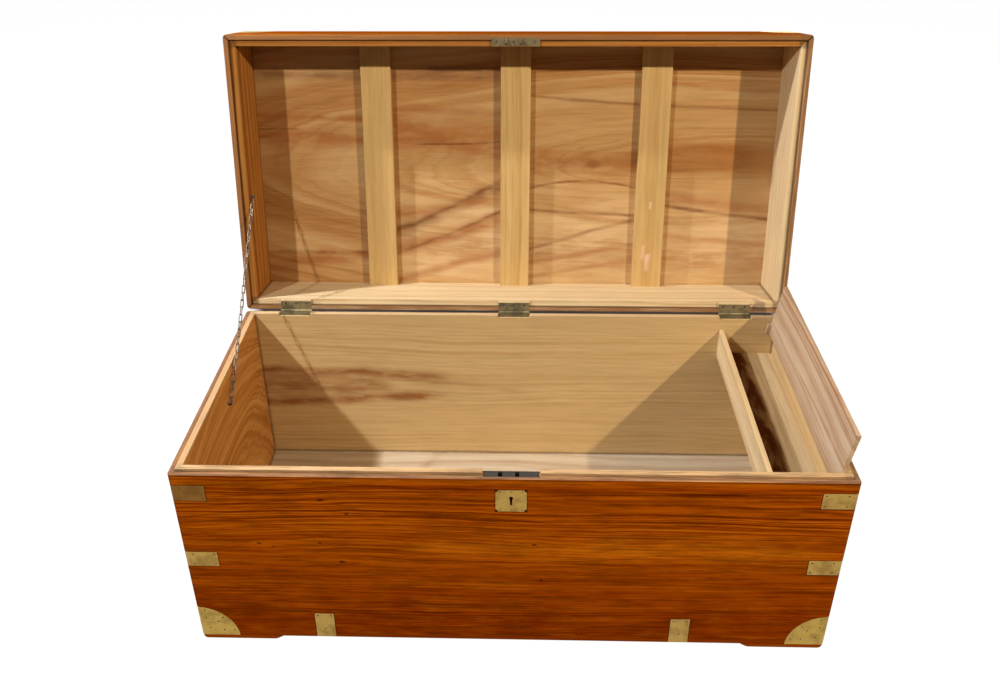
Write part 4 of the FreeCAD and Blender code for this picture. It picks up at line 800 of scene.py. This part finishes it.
# %% A table of metals
LEAVES = [half + "_hinge_leaf_" + place
          for half in ("base", "lid") for place in ("left", "centre", "right")]
STRAPS = [row + "_strap_" + corner for row in ("upper", "middle") for corner in CORNERS]
METALS = [
    ("strap brass", (0.42, 0.26, 0.060), (0.25, 0.145, 0.032), (0.05, 0.025, 0.007), 1, 0.42, 0.85,
     [*STRAPS, "bottom_edge_straps", "escutcheon"]),
    ("dim brass", (0.21, 0.092, 0.010), (0.15, 0.060, 0.007), (0.05, 0.025, 0.007), 2, 0.42, 0.85,
     ["upper_strap_front_left"]),
    ("corner brass", (0.45, 0.29, 0.058), (0.28, 0.17, 0.034), (0.05, 0.028, 0.007), 4, 0.42, 0.85,
     ["lid_corner_brasses", *("corner_brass_" + corner for corner in CORNERS)]),
    ("handle brass", (0.40, 0.26, 0.075), (0.23, 0.15, 0.045), (0.05, 0.03, 0.01), 6, 0.42, 0.85,
     [part + "_" + hand for part in ("handle_cup", "handle_bail") for hand in ("left", "right")]),
    ("hinge brass", (0.25, 0.200, 0.105), (0.075, 0.060, 0.034), (0.03, 0.024, 0.015), 8, 0.5, 0.85,
     ["hinge_pins", *LEAVES]),
    ("browned brass", (0.150, 0.110, 0.055), (0.085, 0.060, 0.032), (0.02, 0.015, 0.01), 9, 0.5, 0.85,
     ["link_plate"]),
    ("lock metal", (0.085, 0.080, 0.072), (0.050, 0.045, 0.038), (0.015, 0.012, 0.01), 12, 0.5, 0.85,
     ["lock_plate", "lock_case", "lock_bolt", "lock_lever", "lock_key_pin"]),
    ("chain metal", (0.24, 0.20, 0.16), (0.10, 0.065, 0.045), (0.04, 0.025, 0.016), 14, 0.42, 0.8,
     ["chain_staple_base", "chain_staple_lid"]),
    ("pin brass", (0.16, 0.095, 0.028), (0.075, 0.042, 0.014), (0.02, 0.014, 0.008), 16, 0.5, 0.85, []),
    ("screw iron", (0.10, 0.080, 0.055), (0.05, 0.038, 0.027), (0.015, 0.012, 0.01), 18, 0.55, 0.85, [])]
metals = {}
for name, bright, dull, dark, seed, rough, shine, names in METALS:
    metals[name] = metal(name, rgb(*bright), rgb(*dull), rgb(*dark), seed, rough, shine)
    dress(metals[name], *names)

# %% [markdown]
# ## Pins and screws
# More than two hundred pins and screws hold the brass. The model has each as a plain rod,
# so their places, sizes and directions can be read from its mesh: every rod is one island
# of joined faces. Its outer end is the wider one, or else the one further from the middle
# of the chest.

# %% Find the rods of a piece
RIM_REACH = 0.985


def end_of(corners, centre, tip, other):
    """The middle of a rod's flat end, and its radius. The end's rim lies furthest from the centre."""
    near = [corner for corner in corners if (corner - tip).length < (corner - other).length]
    rim = [corner for corner in near if (corner - centre).length > RIM_REACH * (tip - centre).length]
    middle = sum(rim, Vector()) / len(rim)
    return middle, max((corner - middle).length for corner in rim)


def heads_of(name, middle):
    """By the radius of its head, where each rod's head is and which way it looks."""
    kinds = {}
    for corners in islands(name):
        centre = sum(corners, Vector()) / len(corners)
        first = max(corners, key=lambda corner: (corner - centre).length)
        last = max(corners, key=lambda corner: (corner - first).length)
        ends = [end_of(corners, centre, first, last), end_of(corners, centre, last, first)]
        ends.sort(key=lambda end: (round(end[1], 4), (end[0] - middle).length))
        inner, head = ends[0][0], ends[1][0]
        kinds.setdefault(round(1000 * ends[1][1], 1), []).append((head, (head - inner).normalized()))
    return kinds


# %% [markdown]
# ## One builder for every head
# Geometry Nodes put one small head on each of these places. The head is turned from a
# flattened ball, for the dome that a hammer leaves, and a cone, for the part in the wood.
# A screw gets its slot cut by a Boolean with a thin bar. Each head is turned about its own
# axis by a random angle from a fixed seed, as no two screws stop at the same place. Only
# then are the copies made real, because a plain mesh is what the chest needs.

# %% A builder made of nodes
def new_builder(name, inputs):
    """An empty tree of geometry nodes, and its input sockets by name."""
    tree = bpy.data.node_groups.new(name, "GeometryNodeTree")
    for label, kind in [("Geometry", "Geometry"), *inputs]:
        tree.interface.new_socket(label, in_out="INPUT", socket_type="NodeSocket" + kind)
    tree.interface.new_socket("Geometry", in_out="OUTPUT", socket_type="NodeSocketGeometry")
    return tree, tree.nodes.new("NodeGroupInput").outputs


def close_builder(tree, points, shape, turned, material):
    """Puts the shape on the points, makes the copies real and gives them their material."""
    copies = add(tree, "GeometryNodeInstanceOnPoints",
                 {"Points": points, "Instance": shape, "Rotation": turned})
    real = add(tree, "GeometryNodeRealizeInstances", {0: copies.outputs[0]})
    dressed = add(tree, "GeometryNodeSetMaterial", {"Geometry": real.outputs[0], "Material": material})
    tree.links.new(dressed.outputs[0], tree.nodes.new("NodeGroupOutput").inputs[0])
    print("builder", tree.name, "has", len(tree.nodes), "nodes")


def run_builder(tree, name, places, material, **values):
    """Runs a builder on points that look along their axis, and keeps its result as a plain mesh."""
    start = bpy.data.meshes.new(name + "_places")
    start.from_pydata([place for place, axis in places], [], [])
    axes = start.attributes.new("axis", "FLOAT_VECTOR", "POINT")
    axes.data.foreach_set("vector", [part for place, axis in places for part in axis])
    made = new_object(name, start)
    modifier = made.modifiers.new("builder", "NODES")
    modifier.node_group = tree
    values["Material"] = material
    for socket in tree.interface.items_tree:
        if socket.in_out == "INPUT" and socket.name in values:
            modifier[socket.identifier] = values[socket.name]
    ready = made.evaluated_get(bpy.context.evaluated_depsgraph_get())
    mesh = bpy.data.meshes.new_from_object(ready)
    made.modifiers.clear()
    made.data = mesh
    mesh.name = name
    print(name, len(places), "places,", len(mesh.polygons), "faces")
    return made


def facing(tree, spin):
    """The rotation that looks along a point's axis and is turned about it by the spin."""
    axis = result_of(tree, "GeometryNodeInputNamedAttribute", {0: "axis"}, data_type="FLOAT_VECTOR")
    looking = result_of(tree, "FunctionNodeAlignRotationToVector", {"Vector": axis}, axis="Z")
    twist = result_of(tree, "FunctionNodeAxisAngleToRotation", {"Axis": (0, 0, 1), "Angle": spin})
    return result_of(tree, "FunctionNodeRotateRotation", {0: looking, 1: twist}, rotation_space="LOCAL")


# %% The head builder
HEAD_SIDES, HEAD_RINGS = 12, 6
heads, give = new_builder("fastener heads", [
    ("Head", "Float"), ("Shank", "Float"), ("Length", "Float"), ("Dome", "Float"), ("Slot", "Float"),
    ("Seed", "Int"), ("Material", "Material")])
ball = result_of(heads, "GeometryNodeMeshUVSphere",
                 {"Segments": HEAD_SIDES, "Rings": HEAD_RINGS, "Radius": give["Head"]})
flat = vector_from(heads, 1, 1, sum_of(heads, "DIVIDE", give["Dome"], give["Head"]))
down = vector_from(heads, z=product(heads, give["Dome"], -1))
dome = result_of(heads, "GeometryNodeTransform", {"Geometry": ball, "Translation": down, "Scale": flat})
deep = line_of(heads, give["Dome"], -1.2, give["Length"])
cone = result_of(heads, "GeometryNodeMeshCone",
                 {"Vertices": HEAD_SIDES, "Radius Top": product(heads, give["Head"], 0.9),
                  "Radius Bottom": give["Shank"], "Depth": deep})
low = vector_from(heads, z=product(heads, give["Length"], -1))
shank = result_of(heads, "GeometryNodeTransform", {"Geometry": cone, "Translation": low})
bar = vector_from(heads, product(heads, give["Head"], 3), give["Slot"], product(heads, give["Slot"], 2))
cutter = result_of(heads, "GeometryNodeMeshCube", {"Size": bar})
slotted = result_of(heads, "GeometryNodeMeshBoolean", {"Mesh 1": dome, "Mesh 2": cutter},
                    operation="DIFFERENCE")
whole, with_slot = (add(heads, "GeometryNodeJoinGeometry") for _ in range(2))
for top, head in ((dome, whole), (slotted, with_slot)):
    heads.links.new(top, head.inputs[0])
    heads.links.new(shank, head.inputs[0])
has_slot = sum_of(heads, "GREATER_THAN", give["Slot"], 0)
choice = result_of(heads, "GeometryNodeSwitch", {0: has_slot, 1: whole.outputs[0], 2: with_slot.outputs[0]},
                   input_type="GEOMETRY")
spin = add(heads, "FunctionNodeRandomValue", {"Seed": give["Seed"], 3: math.pi},
           data_type="FLOAT").outputs[1]
close_builder(heads, give["Geometry"], choice, facing(heads, spin), give["Material"])

# %% [markdown]
# ## Heads in place
# Brass pins hold straps and corners. Their small domes are darker than the plates, because
# dirt stays around them. Iron wood-screws with a slot hold the hinges, the lock and the
# handles. The pins and screws of the case stay with it, and those of the lid move with the
# lid, so each body gets its own mesh.

# %% Pins and screws on case and lid, by the radius of their heads in millimetres
KINDS = {1.5: ("pins", "pin brass", (0.0015, 0.0009, 0.0100, 0.0005, 0.0, 1)),
         1.2: ("small_pins", "pin brass", (0.0012, 0.0008, 0.0045, 0.0004, 0.0, 2)),
         2.7: ("screws", "screw iron", (0.0027, 0.0013, 0.0120, 0.0008, 0.0006, 3))}
HEAD_INPUTS = ("Head", "Shank", "Length", "Dome", "Slot", "Seed")
FASTENED = [("case", "base_fasteners", CASE_MIDDLE + Vector((0, 0, 0.18))),
            ("lid", "lid_fasteners", Vector((0, 0.26, 0.6)))]
for body, node, middle in FASTENED:
    for size, places in sorted(heads_of(node, middle).items()):
        word, finish_metal, values = KINDS[size]
        made = run_builder(heads, f"{body}_{word}", places, metals[finish_metal],
                           **dict(zip(HEAD_INPUTS, values)))
        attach(made, body)
        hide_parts(node)

# %% [markdown]
# ## The stay chain
# A chain keeps the open lid from falling back. It is wire bent into long ovals, each
# turned a quarter against the last. The builder bends one link: a circle of points is
# pulled apart at its middle into an oval and given the wire's thickness. The places of the
# links come from the plain chain of the model.

# %% The link builder
LINK_SIDES, WIRE_SIDES = 18, 8
links, give = new_builder("chain links", [
    ("Long", "Float"), ("Wide", "Float"), ("Wire", "Float"), ("Material", "Material")])
half_width = product(links, sum_of(links, "SUBTRACT", give["Wide"], give["Wire"]), 0.5)
ring = result_of(links, "GeometryNodeCurvePrimitiveCircle",
                 {"Resolution": LINK_SIDES, "Radius": half_width})
where = result_of(links, "GeometryNodeInputPosition")
across, along = parts_of(links, where)[:2]
straight = product(links, sum_of(links, "SUBTRACT", give["Long"], give["Wide"]), 0.5)
pulled = line_of(links, sum_of(links, "SIGN", across), straight, across)
apart = vector_from(links, 0, along, pulled)
oval = result_of(links, "GeometryNodeSetPosition", {"Geometry": ring, "Position": apart})
wire = result_of(links, "GeometryNodeCurvePrimitiveCircle",
                 {"Resolution": WIRE_SIDES, "Radius": product(links, give["Wire"], 0.5)})
link = result_of(links, "GeometryNodeCurveToMesh", {"Curve": oval, "Profile Curve": wire})
count = result_of(links, "GeometryNodeInputIndex")
quarter = product(links, sum_of(links, "MODULO", count, 2), math.pi / 2)
close_builder(links, give["Geometry"], link, facing(links, sum_of(links, "ADD", quarter, math.pi / 4)),
              give["Material"])

# %% Links from staple to staple
LINK_WIDTH, LINK_WIRE = 0.0076, 0.0021
centres = [sum(corners, Vector()) / len(corners) for corners in islands("stay_chain")]
centres.sort(key=lambda centre: centre.z)
chain_way = (centres[-1] - centres[0]).normalized()
pitch = (centres[-1] - centres[0]).length / (len(centres) - 1)
chain = run_builder(links, "stay_chain_links", [(centre, chain_way) for centre in centres],
                    metals["chain metal"], Long=pitch + 2 * LINK_WIRE, Wide=LINK_WIDTH, Wire=LINK_WIRE)
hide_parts("stay_chain")
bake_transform(chain)

# %% [markdown]
# ## Floor and light
# The chest stands on a pale studio floor that runs back without a horizon. Two lamps in
# front, one at each side and above the eye, throw the crossed shadows inside the case. The
# right one is the warmer. A third stands high at the left and rakes over the open lid, and
# a fourth, behind, lights only the back. The room gives a weak light from all round. The
# sheet glows for the camera, so that it stays white, except close behind the chest, where
# a dark patch is painted for the shadow of the open lid.

# %% Floor
def disc(name, radius):
    """A round sheet on the floor."""
    shape = bmesh.new()
    bmesh.ops.create_circle(shape, cap_ends=True, segments=96, radius=radius)
    mesh = bpy.data.meshes.new(name)
    shape.to_mesh(mesh)
    shape.free()
    return new_object(name, mesh)


# %% The paper on the floor, and the shadow painted on it behind the chest
FLOOR_RADIUS = 14
SHADE_HALF_WIDTH, SHADE_SPREAD, SHADE_SOFTNESS = 0.4815, 0.3127, 0.045
SHADE_STARTS, SHADE_ENDS = (-0.15, 0.15), (0.84, 1.20)
LIT_PAPER, PAINTED_SHADOW_PAPER, REAL_PAPER = rgb(0.06, 0.06, 0.06), rgb(0.05, 0.047, 0.045), rgb(0.20, 0.195, 0.19)
floor = disc("studio_floor", FLOOR_RADIUS)
paper, tree, sheet = new_material("studio paper")
seen = seen_rays(tree)
here = parts_of(tree, add(tree, "ShaderNodeTexCoord").outputs["Object"])
half_width = line_of(tree, here[1], SHADE_SPREAD, SHADE_HALF_WIDTH)
beside = sum_of(tree, "SUBTRACT", sum_of(tree, "ABSOLUTE", here[0]), half_width)
# A painted shadow: the sheet stops glowing and turns dark behind the chest, where the open lid's shadow
# would fall.
painted_shadow = product(tree, fading(tree, beside, -SHADE_SOFTNESS, 0), between(tree, here[1], *SHADE_STARTS),
                fading(tree, here[1], *SHADE_ENDS))
shown = mixed(tree, painted_shadow, LIT_PAPER, PAINTED_SHADOW_PAPER)
tree.links.new(mixed(tree, seen, REAL_PAPER, shown), sheet["Base Color"])
lit = product(tree, seen, rest_of(tree, painted_shadow))
tree.links.new(mixed(tree, lit, rgb(0, 0, 0), rgb(1, 1, 1)), sheet["Emission Color"])
sheet["Emission Strength"].default_value = 0.985
sheet["Roughness"].default_value = 0.9
sheet["Specular IOR Level"].default_value = 0.0
floor.data.materials.append(paper)

# %% Lamps
AIM = CASE_MIDDLE + Vector((0, 0, 0.35))


def lamp(name, place, level, width, colour=(1, 1, 1)):
    """A round lamp that gives a matt white sheet facing it this level of light at the chest."""
    light = bpy.data.lights.new(name, "AREA")
    light.color = colour
    light.shape = "DISK"
    light.size = width
    spot = Vector(place) + CASE_MIDDLE
    reach = AIM - spot
    light.energy = level * math.pi ** 2 * reach.length_squared
    made = new_object(name, light)
    made.location = spot
    made.rotation_euler = reach.to_track_quat("-Z", "Y").to_euler()
    print(name, round(reach.length, 2), "m away,", round(light.energy), "W")


lamp("left key", place=(-2.188, -2.688, 2.925), level=0.50, width=0.12, colour=(1, 0.96, 0.88))
lamp("right key", place=(1.716, -1.296, 1.970), level=0.62, width=0.06, colour=(1, 0.82, 0.56))
lamp("high left", place=(-1.384, 0.152, 1.628), level=0.80, width=0.06)
lamp("rear", place=(0.500, 3.200, 2.300), level=0.60, width=0.30)

# %% The room
ROOM_LEVEL, ROOM_COLOUR = 0.10, rgb(1, 0.72, 0.46)
room = bpy.data.worlds.new("room")
bpy.context.scene.world = room
room.use_nodes = True
tree = room.node_tree
seen = seen_rays(tree)
sky = tree.nodes["Background"]
tree.links.new(line_of(tree, seen, 1 - ROOM_LEVEL, ROOM_LEVEL), sky.inputs["Strength"])
tree.links.new(mixed(tree, seen, ROOM_COLOUR, rgb(1, 1, 1)), sky.inputs["Color"])
bpy.context.scene.view_settings.view_transform = "Standard"
print("the room's level is", ROOM_LEVEL)
